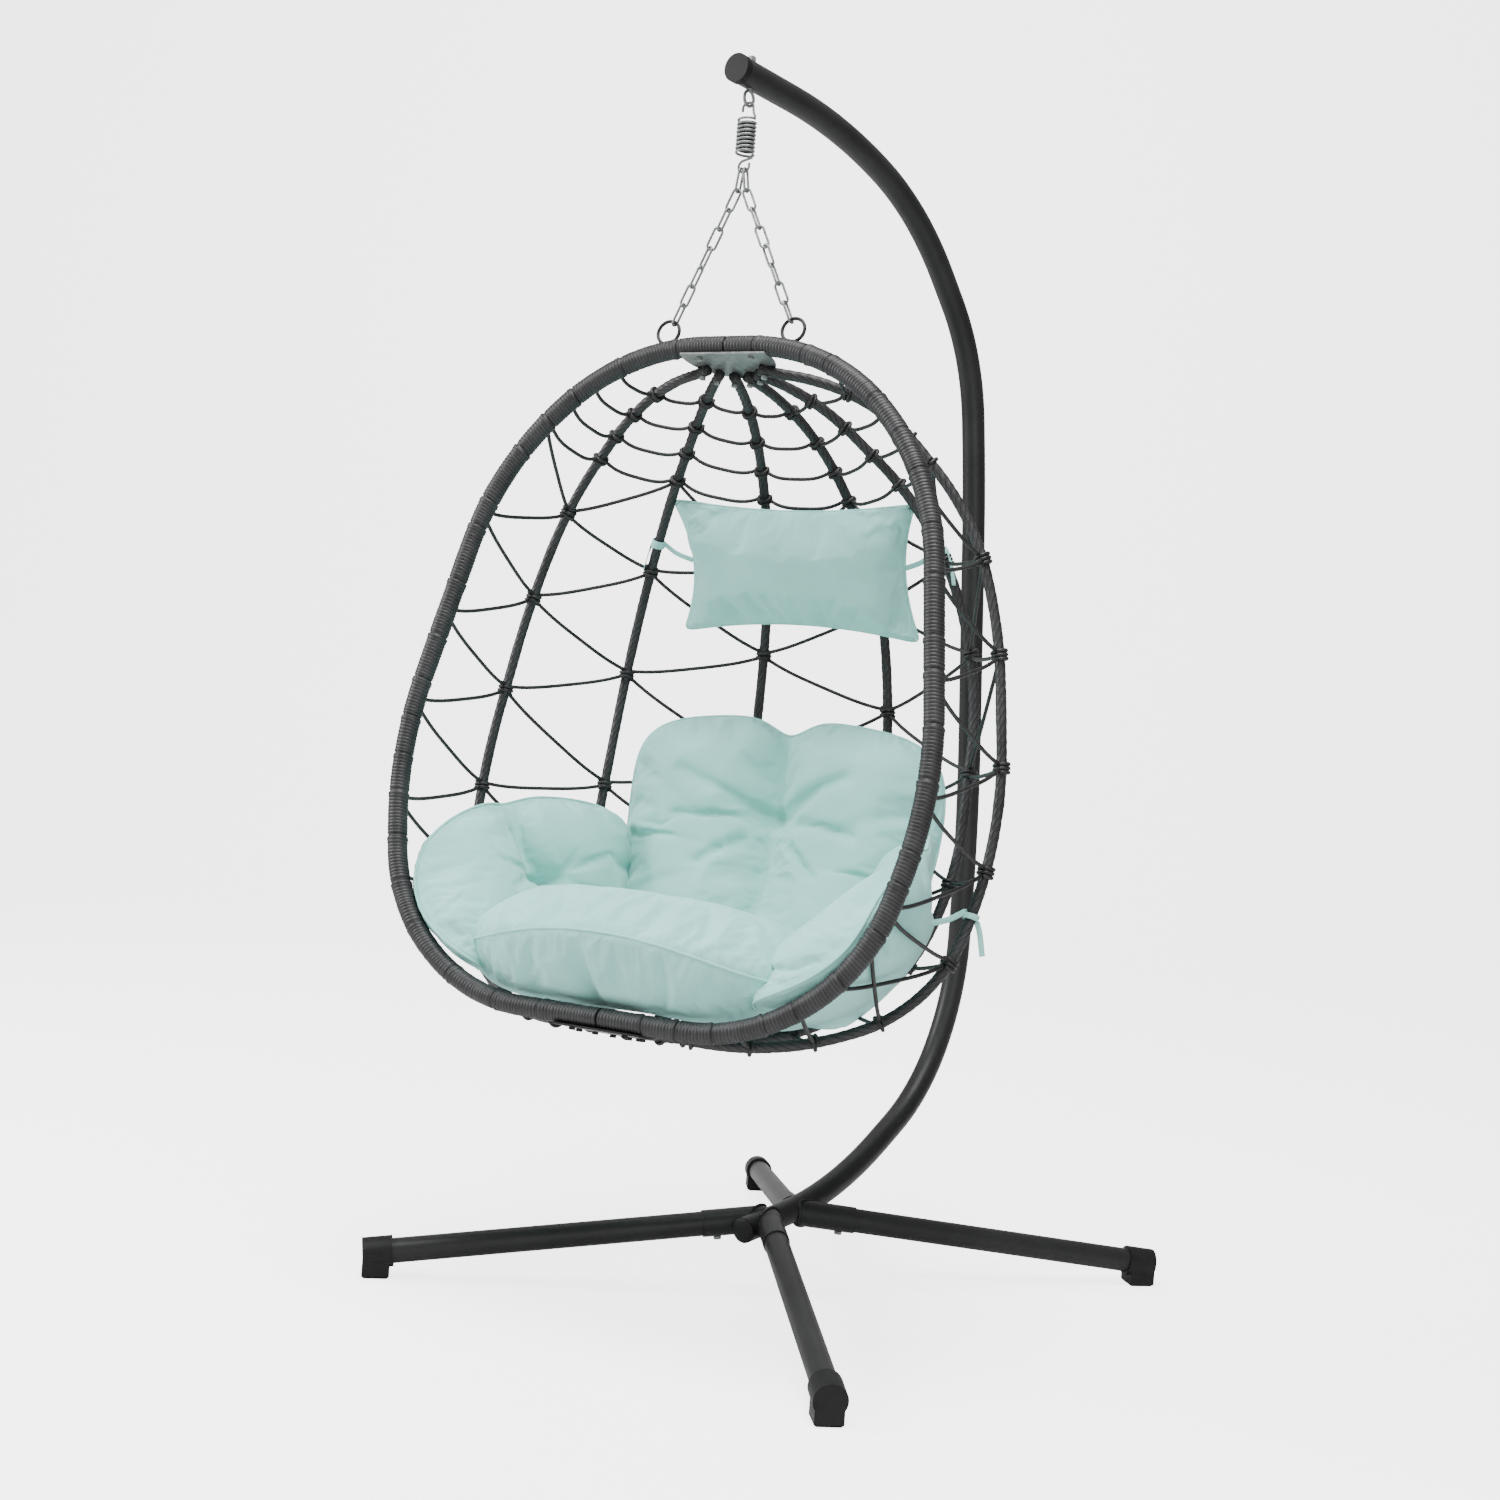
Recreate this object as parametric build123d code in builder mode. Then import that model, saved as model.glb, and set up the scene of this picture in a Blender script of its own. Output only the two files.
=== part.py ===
from build123d import *
from math import cos, radians, sin, tan
import os

os.makedirs("parts", exist_ok=True)

# Hanging egg chair on a bent-tube stand, in millimetres, +Z up.
# The origin is on the floor, under the middle of the whole object; the chair faces -Y.

# ------------------------------------------------------------------ common values
fit_gap = 0.3            # clearance between pieces that move or slide past each other
touch_gap = 0.1          # clearance between pieces that bear on each other
mid_run_share = 0.49     # part of a run that the arc at each of its ends may use
end_run_share = 0.93     # the same for the first and last run of a path

# ------------------------------------------------------------------ stand
pole_diameter = 42.0
pole_wall = 1.8
pole_front = -327.0      # where the top end of the pole stops, forward of the origin
pole_top = 1927.0        # centre line height at the top end
pole_foot = 105.0        # centre line height at the bottom end
pole_foot_front = -75.0  # where the bottom end stops
# where the pole's straight runs would meet: distance behind the origin, and height
pole_bends = [
    (-50, 1917), (209, 1840), (428, 1628), (472, 1400), (545, 779), (547, 462), (450, 279), (177, 127),
]
pole_joint_height = 1310.0
pole_neck_length = 110.0
pole_cap_length = 10.0
pole_cap_wall = 1.2
plug_thickness = 3.0

leg_cross_y = 25.0       # the legs cross this far behind the origin
leg_diameter = 40.0
leg_wall = 1.5
leg_run = 658.0          # horizontal distance from a leg's root to its end
leg_root_height = 115.0
leg_end_height = 36.0
leg_root_offset = 35.5   # front and rear roots lie this far either side of the crossing
front_leg_angle = 43.9   # from straight forward
rear_leg_angle = 40.9    # from straight back
leg_inset = 60.0         # where the leg tube starts, from its root
socket_wall = 1.9
socket_start = 14.0
socket_length = 96.0
socket_side_gap = 12.0   # the sockets stop this far from the pole's middle plane
leg_bolt_place = 86.0
leg_bolt_radius = 4.0
bolt_clearance = 0.2
leg_bolt_head_radius = 6.5
leg_bolt_head_height = 5.0
leg_nut_height = 6.5

foot_cup_diameter = 50.0
foot_cup_length = 48.0
foot_cup_end = 3.0
foot_block_width = 42.0
foot_block_length = 44.0
foot_chamfer = 4.0

# ------------------------------------------------------------------ hanger
hook_inset = 35.0        # the eyebolt stands this far behind the pole's top end
eye_radius = 11.5        # centre line of the eye
eye_wire = 5.0
eye_shank_diameter = 8.0
eye_nut_height = 6.5
eye_nut_radius = 7.0
spring_wire = 4.0
spring_radius = 13.5     # centre line of the coils
spring_pitch = 6.1
spring_turns = 9.0
hook_radius = 9.0        # centre line of the spring's open hooks
hook_tip_reach = 4.5     # how far past its centre a hook's open end reaches
upper_hook_rise = 2.7    # from the first coil to where the upper hook's wire leaves it
lower_hook_rise = 4.6    # the same for the lower hook, which moves past the coil's last turn
upper_hook_neck = 4.0    # from the upper hook's centre down to its neck
lower_hook_neck = 6.0    # from the lower hook's centre up to its neck
upper_hook_drop = 16.0   # from the upper hook's centre to the first coil
lower_hook_drop = 17.0   # from the last coil to the lower hook's centre
core_gap = 6.5           # the core starts and stops this far inside the coils
chain_wire = 4.0
link_half_width = 6.5    # centre line of the long sides
link_pitch = 32.0        # from one link's seat to the next
link_count = 8           # in each chain
link_turns = [90, 180, 240, 300, 360, 450, 540]   # how far round each lower link is turned, in degrees
chain_top_spread = 3.0   # half the distance between the two top links
top_link_lean = 8.0      # the top links lean out from the vertical
ring_radius = 18.8       # centre line of the rings on the rim
ring_wire = 5.5
ring_drop = 2.0          # the rings' centres lie this far below the basket's origin
ring_spread = 109.0      # from the chair's middle plane to each ring

# ------------------------------------------------------------------ basket
basket_yaw = 8.8         # the chair hangs turned this far about the vertical
basket_tilt = 12.4       # the rim leans back this far as the chair hangs at rest
rim_tube_diameter = 28.0
rim_tube_wall = 2.5
rim_wrap = 1.5
# places in the chair are given from the middle of the line through the two rings
# corners of a rim half and of the ribs: distance out from the middle, height
rim_gap = 4.0            # between the two halves' ends
rim_top = -26.0
rim_bottom = -1066.0
rim_corners = [(177, rim_top), (378, -226), (458, -698), (398, -946), (236, rim_bottom)]
rib_tube_diameter = 14.4
rib_tube_wall = 0.7
rib_wrap = 1.3
rib_end_radius = 50.0    # the ribs stop this far from the hub's centre
rib_angles = [62.5, 38.5, 13.0]     # from straight back
rib_corners = [
    [(230, 0), (411, -224), (479, -391), (531, -698), (473, -966), (255, -4)],
    [(149, 0), (398, -187), (527, -411), (543, -750), (475, -933), (256, 3)],
    [(210, 0), (450, -224), (545, -426), (600, -713), (500, -954), (238, -4)],
]
hub_setback = 7.0        # the hub's centre lies behind the rim's plane
hub_radius = 76.0
hub_thickness = 3.0
hub_front = 14.0         # the half discs reach this far forward of the rim's plane
hub_bolt_circle = 61.0
rim_bolt_place = 45.0
hub_bolt_radius = 3.0
hub_bolt_head_radius = 5.0
hub_bolt_head_height = 4.0
hub_nut_height = 5.0
rim_bolt_reach = 9.0     # how far a rim bolt goes into the rim tube

cord_diameter = 4.0
cord_sag = 0.05          # of a cord's length
cord_gap = 0.8           # the cords stop this far short of the tubes they are knotted to
knot_spread = 5.0        # two cords that meet at a knot lie this far apart
# heights of the knots: the close rows at the top, then each column's own, left to right
close_rows = [-65, -89, -118, -151]
left_column = [-306, -471, -620, -778, -901]
left_side = [-236, -377, -535, -703, -861, -981]
left_back = [-283, -453, -650, -821, -961]
middle_left = [-238, -380, -561, -751, -931]
middle_right = [-290, -459, -621, -791, -951]
right_back = [-249, -387, -576, -757, -895]
right_side = [-286, -429, -598, -755, -897]
right_column = [-240, -371, -535, -703, -861, -981]

# ------------------------------------------------------------------ cushions
# sections of each pad: place along it, centre (two values) and half size (two values)
seat_sections = [
    (-1058, 0, 130, 110, 78),
    (-1022, 0, 138, 225, 155),
    (-975, 0, 145, 284, 190),
    (-922, 0, 135, 266, 182),
    (-897, 0, 130, 180, 120),
]
back_sections = [
    (-990, 0, 381.5, 105, 26),
    (-905, 0, 423.5, 182, 64),
    (-765, 0, 458.5, 228, 87),
    (-640, 0, 455.5, 228, 80),
    (-545, 0, 443.5, 150, 44),
]
# the hollow in the front of the back pad, where the sitter leans
back_hollow_sections = [
    (-940, 0, 382, 80, 34),
    (-885, 0, 372, 165, 78),
    (-765, 0, 362, 212, 130),
    (-640, 0, 356, 214, 128),
    (-535, 0, 372, 160, 98),
]
arm_sections = [
    (2, 328, -878, 40, 70),
    (60, 334, -860, 64, 106),
    (170, 340, -848, 70, 116),
    (285, 312, -842, 58, 96),
    (352, 282, -846, 36, 66),
]
pillow_width = 425.0
# place along the pillow, as far as its end, with half its thickness and half its height
pillow_sections = [(-1.0, 9, 84), (-0.7, 28, 93), (0.0, 40, 101), (0.7, 28, 93), (1.0, 9, 84)]
pillow_centre = (0.0, 344.0, -267.0)
pillow_lean = 33.4       # the pillow's top leans this far forward
pillow_edge_share = 0.9   # how round the pillow's edges are
tie_diameter = 6.0
tie_gap = 2.5            # the ties start this far from the cushion they are sewn to
pillow_tie_height = -238.0
arm_tie_height = -825.0


# ------------------------------------------------------------------ helpers
def smooth_path(points):
    """Wire of straight runs joined by arcs as large as the runs allow."""
    points = [Vector(*point) for point in points]
    usable = [(b - a).length * mid_run_share for a, b in zip(points, points[1:])]
    usable[0] *= end_run_share / mid_run_share
    usable[-1] *= end_run_share / mid_run_share
    radii = []
    for i in range(1, len(points) - 1):
        turn = (points[i] - points[i - 1]).get_angle(points[i + 1] - points[i])
        radii.append(min(usable[i - 1], usable[i]) / tan(radians(turn) / 2))
    with BuildLine() as line:
        FilletPolyline(*points, radius=radii)
    return line.wires()[0]


def sweep_tube(path, outer_radius, inner_radius):
    """Round tube along a path; an inner radius of 0 gives a solid bar."""
    with BuildPart() as tube:
        with BuildSketch(Plane(origin=path @ 0, z_dir=path % 0)):
            Circle(outer_radius)
            if inner_radius > 0:
                Circle(inner_radius, mode=Mode.SUBTRACT)
        sweep(path=path)
    return tube


def share_at(path, measure, low, high):
    """Share of the path's length where a measure that falls along it reaches zero."""
    for _ in range(40):
        middle = (low + high) / 2
        if measure(path @ middle) > 0:
            low = middle
        else:
            high = middle
    return (low + high) / 2


def level_share(path, height):
    """Share of a path's length where it passes a height on its way down."""
    return share_at(path, lambda point: point.Z - height, 0.02, 0.97)


def save(piece, label, place=Location()):
    """Put a finished piece in its place and write it."""
    piece.part.locate(place)
    piece.part.label = label
    export_step(piece.part, "parts/" + label + ".step")


# ------------------------------------------------------------------ pole
pole_radius = pole_diameter / 2
pole_bore = pole_radius - pole_wall
pole_points = (
    [(0, pole_front, pole_top)]
    + [(0, y, z) for y, z in pole_bends]
    + [(0, pole_foot_front, pole_foot)]
)
pole_path = smooth_path(pole_points)
joint_share = level_share(pole_path, pole_joint_height)
joint_plane = Plane(origin=pole_path @ joint_share, z_dir=-(pole_path % joint_share))
neck_end = joint_plane.offset(-pole_neck_length)
neck_start = joint_plane.offset(pole_wall)

hook_y = pole_front + hook_inset
hook_share = share_at(pole_path, lambda point: hook_y - point.Y, 0.0, 0.2)
pole_height_at_hook = (pole_path @ hook_share).Z

with BuildPart() as pole_lower:
    add(sweep_tube(pole_path, pole_radius, pole_bore).part)
    split(bisect_by=joint_plane, keep=Keep.BOTTOM)
save(pole_lower, "pole_lower")

neck_outer = pole_bore - fit_gap
with BuildPart() as pole_neck:
    add(sweep_tube(pole_path, neck_outer, neck_outer - pole_wall).part)
    split(bisect_by=neck_start, keep=Keep.BOTTOM)
    split(bisect_by=neck_end, keep=Keep.TOP)

with BuildPart() as pole_shoulder:
    add(sweep_tube(pole_path, pole_radius, neck_outer - pole_wall).part)
    split(bisect_by=neck_start, keep=Keep.BOTTOM)
    split(bisect_by=joint_plane, keep=Keep.TOP)

with BuildPart() as pole_upper:
    add(sweep_tube(pole_path, pole_radius, pole_bore).part)
    split(bisect_by=joint_plane, keep=Keep.TOP)
    add(pole_shoulder.part)
    add(pole_neck.part)
    with Locations((0, hook_y, pole_height_at_hook)):
        Cylinder(eye_shank_diameter / 2 + bolt_clearance, pole_diameter * 1.5, mode=Mode.SUBTRACT)
save(pole_upper, "pole_upper")

# the cap is a cup over the pole's top end, the plug a disc that closes the bottom end
top_end = Plane(origin=pole_path @ 0, z_dir=pole_path % 0)
with BuildPart() as pole_top_cap:
    with BuildSketch(top_end.offset(-plug_thickness)):
        Circle(pole_radius + pole_cap_wall)
    extrude(amount=plug_thickness + pole_cap_length)
    with BuildSketch(top_end):
        Circle(pole_radius + touch_gap)
    extrude(amount=pole_cap_length, mode=Mode.SUBTRACT)
save(pole_top_cap, "pole_top_cap")

with BuildPart() as pole_bottom_plug:
    with BuildSketch(Plane(origin=pole_path @ 1, z_dir=pole_path % 1)):
        Circle(pole_radius)
    extrude(amount=plug_thickness)
save(pole_bottom_plug, "pole_bottom_plug")

# ------------------------------------------------------------------ legs, sockets, feet
leg_radius = leg_diameter / 2
socket_bore = leg_radius + fit_gap / 2
socket_radius = socket_bore + socket_wall
leg_fall = leg_root_height - leg_end_height
leg_length = (leg_run**2 + leg_fall**2) ** 0.5
cup_radius = foot_cup_diameter / 2
pole_room = sweep_tube(pole_path, pole_radius + touch_gap, 0)
nut_seat = ((leg_radius - leg_wall)**2 - leg_bolt_head_radius**2) ** 0.5 - touch_gap


def leg_frame(side, end):
    """Plane at a leg's root: its normal runs down the leg, its Y axis points upwards."""
    angle = front_leg_angle if end == "front" else rear_leg_angle
    ahead = -1 if end == "front" else 1
    run = Vector(side * sin(radians(angle)), ahead * cos(radians(angle)), 0)
    root = Vector(0, leg_cross_y + ahead * leg_root_offset, leg_root_height)
    down_leg = run * leg_run + Vector(0, 0, -leg_fall)
    across = down_leg.cross(Vector(0, 0, 1))
    return Plane(origin=root, x_dir=across, z_dir=down_leg), run


leg_bolts = []
leg_nuts = []
for end in ("front", "rear"):
    for side_name, side in (("left", -1), ("right", 1)):
        frame, run = leg_frame(side, end)
        name = end + "_" + side_name
        upwards = frame.y_dir * (-1 if frame.y_dir.Z < 0 else 1)
        bolt_frame = Plane(origin=frame.origin + frame.z_dir * leg_bolt_place, z_dir=upwards)

        with BuildPart() as bolt_hole:
            with BuildSketch(bolt_frame):
                Circle(leg_bolt_radius + bolt_clearance)
            extrude(amount=-socket_radius * 1.5)

        with BuildPart() as socket:
            with BuildSketch(frame.offset(socket_start)):
                Circle(socket_radius)
                Circle(socket_bore, mode=Mode.SUBTRACT)
            extrude(amount=socket_length)
            add(pole_room.part, mode=Mode.SUBTRACT)
            add(bolt_hole.part, mode=Mode.SUBTRACT)
            split(bisect_by=Plane.YZ.offset(side * socket_side_gap), keep=Keep.TOP if side > 0 else Keep.BOTTOM)
        save(socket, "socket_" + name)

        with BuildPart() as leg:
            with BuildSketch(frame.offset(leg_inset)):
                Circle(leg_radius)
                Circle(leg_radius - leg_wall, mode=Mode.SUBTRACT)
            extrude(amount=leg_length - foot_cup_end - leg_inset)
            add(bolt_hole.part, mode=Mode.SUBTRACT)
        save(leg, "leg_" + name)

        # a round-headed screw from below, into a nut inside the leg
        screw_reach = socket_radius - nut_seat + leg_nut_height
        with BuildPart() as bolt:
            with BuildSketch(bolt_frame.offset(-socket_radius)):
                Circle(leg_bolt_head_radius)
            extrude(amount=-leg_bolt_head_height)
            with BuildSketch(bolt_frame.offset(-socket_radius)):
                Circle(leg_bolt_radius)
            extrude(amount=screw_reach)
        leg_bolts.append(bolt.part)

        with BuildPart() as nut:
            with BuildSketch(bolt_frame.offset(-nut_seat)):
                RegularPolygon(leg_bolt_head_radius, 6)
                Circle(leg_bolt_radius + bolt_clearance, mode=Mode.SUBTRACT)
            extrude(amount=leg_nut_height)
        leg_nuts.append(nut.part)

        # moulded foot: a cup on the leg's end that grows out of a level block
        block_place = frame.origin + run * (leg_run - foot_block_length / 2)
        block_frame = Plane(origin=(block_place.X, block_place.Y, 0), x_dir=run, z_dir=(0, 0, 1))
        with BuildPart() as foot:
            with BuildSketch(block_frame):
                Rectangle(foot_block_length, foot_block_width)
            extrude(amount=leg_end_height)
            chamfer(foot.faces().sort_by(Axis.Z)[0].edges(), foot_chamfer)
            with BuildSketch(frame.offset(leg_length - foot_cup_length)):
                Circle(cup_radius)
            extrude(amount=foot_cup_length)
            with BuildSketch(frame.offset(leg_length - foot_cup_length * 1.5)):
                Circle(leg_radius + touch_gap)
            extrude(amount=foot_cup_length * 1.5 - foot_cup_end, mode=Mode.SUBTRACT)
        save(foot, "foot_" + name)

for label, solids in (("leg_bolts", leg_bolts), ("leg_nuts", leg_nuts)):
    with BuildPart() as group:
        add(solids)
    save(group, label)

# ------------------------------------------------------------------ eyebolt
eye_wire_radius = eye_wire / 2
eye_centre = pole_height_at_hook - pole_radius - eye_radius - eye_wire_radius - fit_gap
pole_crest = pole_height_at_hook + pole_radius
with BuildPart() as eyebolt:
    with Locations((0, hook_y, eye_centre)):
        Torus(eye_radius, eye_wire_radius, rotation=(0, 90, 0))
    with BuildSketch(Plane.XY.offset(eye_centre + eye_radius)):
        with Locations((0, hook_y)):
            Circle(eye_shank_diameter / 2)
    extrude(amount=pole_crest + eye_nut_height + 2 - eye_centre - eye_radius)
save(eyebolt, "eyebolt")

with BuildPart() as eyebolt_nut:
    with BuildSketch(Plane.XY.offset(pole_crest + fit_gap)):
        with Locations((0, hook_y)):
            RegularPolygon(eye_nut_radius, 6)
            Circle(eye_shank_diameter / 2 + bolt_clearance, mode=Mode.SUBTRACT)
    extrude(amount=eye_nut_height)
save(eyebolt_nut, "eyebolt_nut")

# ------------------------------------------------------------------ spring
wire_radius = spring_wire / 2
eye_seat = eye_centre - eye_radius
upper_hook_centre = eye_seat + eye_wire_radius + wire_radius + fit_gap - hook_radius
coil_top = upper_hook_centre - upper_hook_drop
coil_height = spring_pitch * spring_turns
coil_bottom = coil_top - coil_height
lower_hook_centre = coil_bottom - lower_hook_drop


hanger_place = Location((0, hook_y, 0), (0, 0, basket_yaw))

with BuildPart() as spring_upper_hook:
    hook_top = upper_hook_centre + hook_radius
    add(sweep_tube(smooth_path([
        (-hook_radius, 0, upper_hook_centre - hook_tip_reach),
        (-hook_radius, 0, hook_top),
        (hook_radius, 0, hook_top),
        (hook_radius, 0, upper_hook_centre - upper_hook_neck),
        (spring_radius, 0, coil_top + upper_hook_rise),
    ]), wire_radius, 0).part)
save(spring_upper_hook, "spring_upper_hook", hanger_place)

with BuildPart() as spring_coil:
    with BuildLine():
        coil = Helix(spring_pitch, coil_height, spring_radius, center=(0, 0, coil_bottom))
    with BuildSketch(Plane(origin=coil @ 0, z_dir=coil % 0)):
        Circle(wire_radius)
    sweep(path=coil, is_frenet=True)
save(spring_coil, "spring_coil", hanger_place)

with BuildPart() as spring_lower_hook:
    hook_bottom = lower_hook_centre - hook_radius
    add(sweep_tube(smooth_path([
        (hook_radius, 0, lower_hook_centre + hook_tip_reach),
        (hook_radius, 0, hook_bottom),
        (-hook_radius, 0, hook_bottom),
        (-hook_radius, 0, lower_hook_centre + lower_hook_neck),
        (spring_radius, 0, coil_bottom - lower_hook_rise),
    ]), wire_radius, 0).part)
save(spring_lower_hook, "spring_lower_hook", hanger_place)

with BuildPart() as spring_core:
    with Locations((0, 0, (coil_top + coil_bottom) / 2)):
        Cylinder(spring_radius - wire_radius - fit_gap, coil_height - core_gap * 2)
save(spring_core, "spring_core", hanger_place)

# ------------------------------------------------------------------ chains
# Link seats: where a bow's centre line lies once it hangs in the piece above it.
chain_wire_radius = chain_wire / 2
link_overlap = chain_wire + fit_gap
link_length = link_pitch + link_overlap
seat_radius = hook_radius - wire_radius - chain_wire_radius - fit_gap
top_seat = lower_hook_centre - (seat_radius**2 - chain_top_spread**2) ** 0.5
top_lean = radians(top_link_lean)
top_link_end_x = chain_top_spread + link_length * sin(top_lean)
top_link_end_z = top_seat - link_length * cos(top_lean)
ring_overlap = ring_wire / 2 + chain_wire_radius + fit_gap
# The lower links run towards the ring's centre, from the top link's end to the ring's wire.
chain_length = link_pitch * (link_count - 1) - ring_overlap
chain_run = (ring_spread - top_link_end_x) / (1 + ring_radius / chain_length)
chain_drop = (chain_length**2 - chain_run**2) ** 0.5
ring_seat_rise = ring_radius * chain_drop / chain_length - ring_drop
ring_seat_z = top_link_end_z - chain_drop
basket_height = ring_seat_z - ring_seat_rise * cos(radians(basket_tilt))
basket_setback = ring_seat_rise * sin(radians(basket_tilt))


def make_link(frame):
    """Closed chain link that hangs from a frame's origin along its normal, flat along its X axis."""
    straight = link_length - link_half_width * 2
    first = link_half_width
    with BuildPart() as link:
        with BuildLine(Plane(origin=frame.origin, x_dir=frame.x_dir, z_dir=frame.y_dir)) as loop:
            left = Line((-link_half_width, -first), (-link_half_width, -first - straight))
            right = Line((link_half_width, -first - straight), (link_half_width, -first))
            ThreePointArc(left @ 1, (0, -link_length), right @ 0)
            ThreePointArc(right @ 1, (0, 0), left @ 0)
        path = loop.wires()[0]
        with BuildSketch(Plane(origin=path @ 0, z_dir=path % 0)):
            Circle(chain_wire_radius)
        sweep(path=path)
    return link.part


top_links = []
for side in (-1, 1):
    lean_out = Vector(side * sin(top_lean), 0, -cos(top_lean))
    top_links.append(make_link(Plane((side * chain_top_spread, 0, top_seat), (0, 1, 0), lean_out)))
with BuildPart() as chain_top_links:
    add(top_links)
save(chain_top_links, "chain_top_links", hanger_place)

chain_ends = []
for side_name, side in (("left", -1), ("right", 1)):
    downwards = Vector(side * chain_run, 0, -chain_drop).normalized()
    sideways = downwards.cross(Vector(0, 1, 0))
    links = []
    for i in range(link_count - 1):
        top_link_end = Vector(side * top_link_end_x, 0, top_link_end_z)
        seat = top_link_end + downwards * (link_pitch * i - link_overlap)
        turned = radians(link_turns[i])
        flat = Vector(0, cos(turned), 0) + sideways * sin(turned)
        links.append(make_link(Plane(seat, flat, downwards)))
    with BuildPart() as chain:
        add(links)
    save(chain, "chain_" + side_name, hanger_place)

# ------------------------------------------------------------------ basket frame
basket_place = (
    Location((0, hook_y, basket_height), (0, 0, basket_yaw))
    * Location((0, -basket_setback, 0), (-basket_tilt, 0, 0))
)
rim_tube_radius = rim_tube_diameter / 2
rim_radius = rim_tube_radius + rim_wrap
rib_tube_radius = rib_tube_diameter / 2
rib_radius = rib_tube_radius + rib_wrap
top_plate_top = rim_top - rim_radius
rib_top = top_plate_top - hub_thickness - rib_radius
bottom_plate_top = rim_bottom - rim_radius
rib_bottom = bottom_plate_top + rib_radius

rim_paths = []
for side in (-1, 1):
    corners = [(side * x, 0, z) for x, z in rim_corners]
    start = (side * rim_gap / 2, 0, rim_top)
    rim_paths.append(smooth_path([start] + corners + [(side * rim_gap / 2, 0, rim_bottom)]))

# six ribs, from the left side round the back to the right side
rib_paths = []
turns = [-angle for angle in rib_angles] + rib_angles[::-1]
for turn, corners in zip(turns, rib_corners + rib_corners[::-1]):
    out = Vector(sin(radians(turn)), cos(radians(turn)), 0)
    base = Vector(0, hub_setback, 0)
    middle = [base + out * r + Vector(0, 0, z) for r, z in corners[1:-1]]
    first_r, first_z = corners[0]
    last_r, last_z = corners[-1]
    top_z = Vector(0, 0, rib_top)
    bottom_z = Vector(0, 0, rib_bottom)
    rib_paths.append(smooth_path(
        [base + out * rib_end_radius + top_z, base + out * first_r + top_z + Vector(0, 0, first_z)]
        + middle
        + [base + out * last_r + bottom_z + Vector(0, 0, last_z), base + out * rib_end_radius + bottom_z]
    ))

# bolts: upwards through each rib's ends and its plate, and from below into the rim tubes
bolt_hole_radius = hub_bolt_radius + bolt_clearance
rim_bolts = [(side * rim_bolt_place, 0) for side in (-1, 1)]
rib_bolts = [
    (hub_bolt_circle * sin(radians(turn)), hub_setback + hub_bolt_circle * cos(radians(turn)))
    for turn in turns
]
bolt_stacks = [
    (rib_bolts, rib_top - rib_radius, top_plate_top, True),
    (rib_bolts, bottom_plate_top - hub_thickness, bottom_plate_top + rib_radius * 2, True),
    (rim_bolts, top_plate_top - hub_thickness, top_plate_top + rim_bolt_reach, False),
    (rim_bolts, bottom_plate_top - hub_thickness, bottom_plate_top + rim_bolt_reach, False),
]

with BuildPart() as hub_bolts:
    for places, low, high, has_nut in bolt_stacks:
        for x, y in places:
            with BuildSketch(Plane((x, y, low - fit_gap))):
                Circle(hub_bolt_head_radius)
            extrude(amount=-hub_bolt_head_height)
            with BuildSketch(Plane((x, y, low - fit_gap))):
                Circle(hub_bolt_radius)
            extrude(amount=high - low + fit_gap * 2)
            if has_nut:
                with BuildSketch(Plane((x, y, high + fit_gap))):
                    RegularPolygon(hub_bolt_head_radius, 6)
                extrude(amount=hub_nut_height)
save(hub_bolts, "hub_bolts", basket_place)

with BuildPart() as bolt_rooms:
    for places, low, high, has_nut in bolt_stacks:
        for x, y in places:
            with BuildSketch(Plane((x, y, low - hub_bolt_head_height))):
                Circle(bolt_hole_radius)
            extrude(amount=high - low + hub_bolt_head_height * 2)

rooms_for_bolts = bolt_rooms.part
rim_rooms = [sweep_tube(path, rim_radius + touch_gap, 0).part for path in rim_paths]
rib_rooms = [sweep_tube(path, rib_radius + touch_gap, 0).part for path in rib_paths]

# ------------------------------------------------------------------ rings and rim
for side_name, side, path in (("left", -1, rim_paths[0]), ("right", 1, rim_paths[1])):
    with BuildPart() as tube_room:
        add(sweep_tube(path, rim_tube_radius + touch_gap, 0).part)

    with BuildPart() as ring:
        with Locations((side * ring_spread, 0, -ring_drop)):
            Torus(ring_radius, ring_wire / 2, rotation=(90, 0, 0))
        add(tube_room.part, mode=Mode.SUBTRACT)
    save(ring, "ring_" + side_name, basket_place)

    with BuildPart() as rim_tube:
        add(sweep_tube(path, rim_tube_radius, rim_tube_radius - rim_tube_wall).part)
        add(rooms_for_bolts, mode=Mode.SUBTRACT)
    save(rim_tube, "rim_tube_" + side_name, basket_place)

    with BuildPart() as rim_wrapping:
        add(sweep_tube(path, rim_radius, rim_tube_radius + touch_gap).part)
        add(rooms_for_bolts, mode=Mode.SUBTRACT)
        with Locations((side * ring_spread, 0, -ring_drop)):
            Torus(ring_radius, ring_wire / 2 + touch_gap, rotation=(90, 0, 0), mode=Mode.SUBTRACT)
    save(rim_wrapping, "rim_wrap_" + side_name, basket_place)

# ------------------------------------------------------------------ ribs and hub plates
wraps = []
for number, path in enumerate(rib_paths, 1):
    with BuildPart() as rib:
        add(sweep_tube(path, rib_tube_radius, rib_tube_radius - rib_tube_wall).part)
        add(rooms_for_bolts, mode=Mode.SUBTRACT)
    save(rib, "rib_" + str(number), basket_place)

    with BuildPart() as wrapping:
        add(sweep_tube(path, rib_radius, rib_tube_radius + touch_gap).part)
        add(rooms_for_bolts, mode=Mode.SUBTRACT)
    wraps.append(wrapping.part)
with BuildPart() as rib_wraps:
    add(wraps)
save(rib_wraps, "rib_wraps", basket_place)

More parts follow.
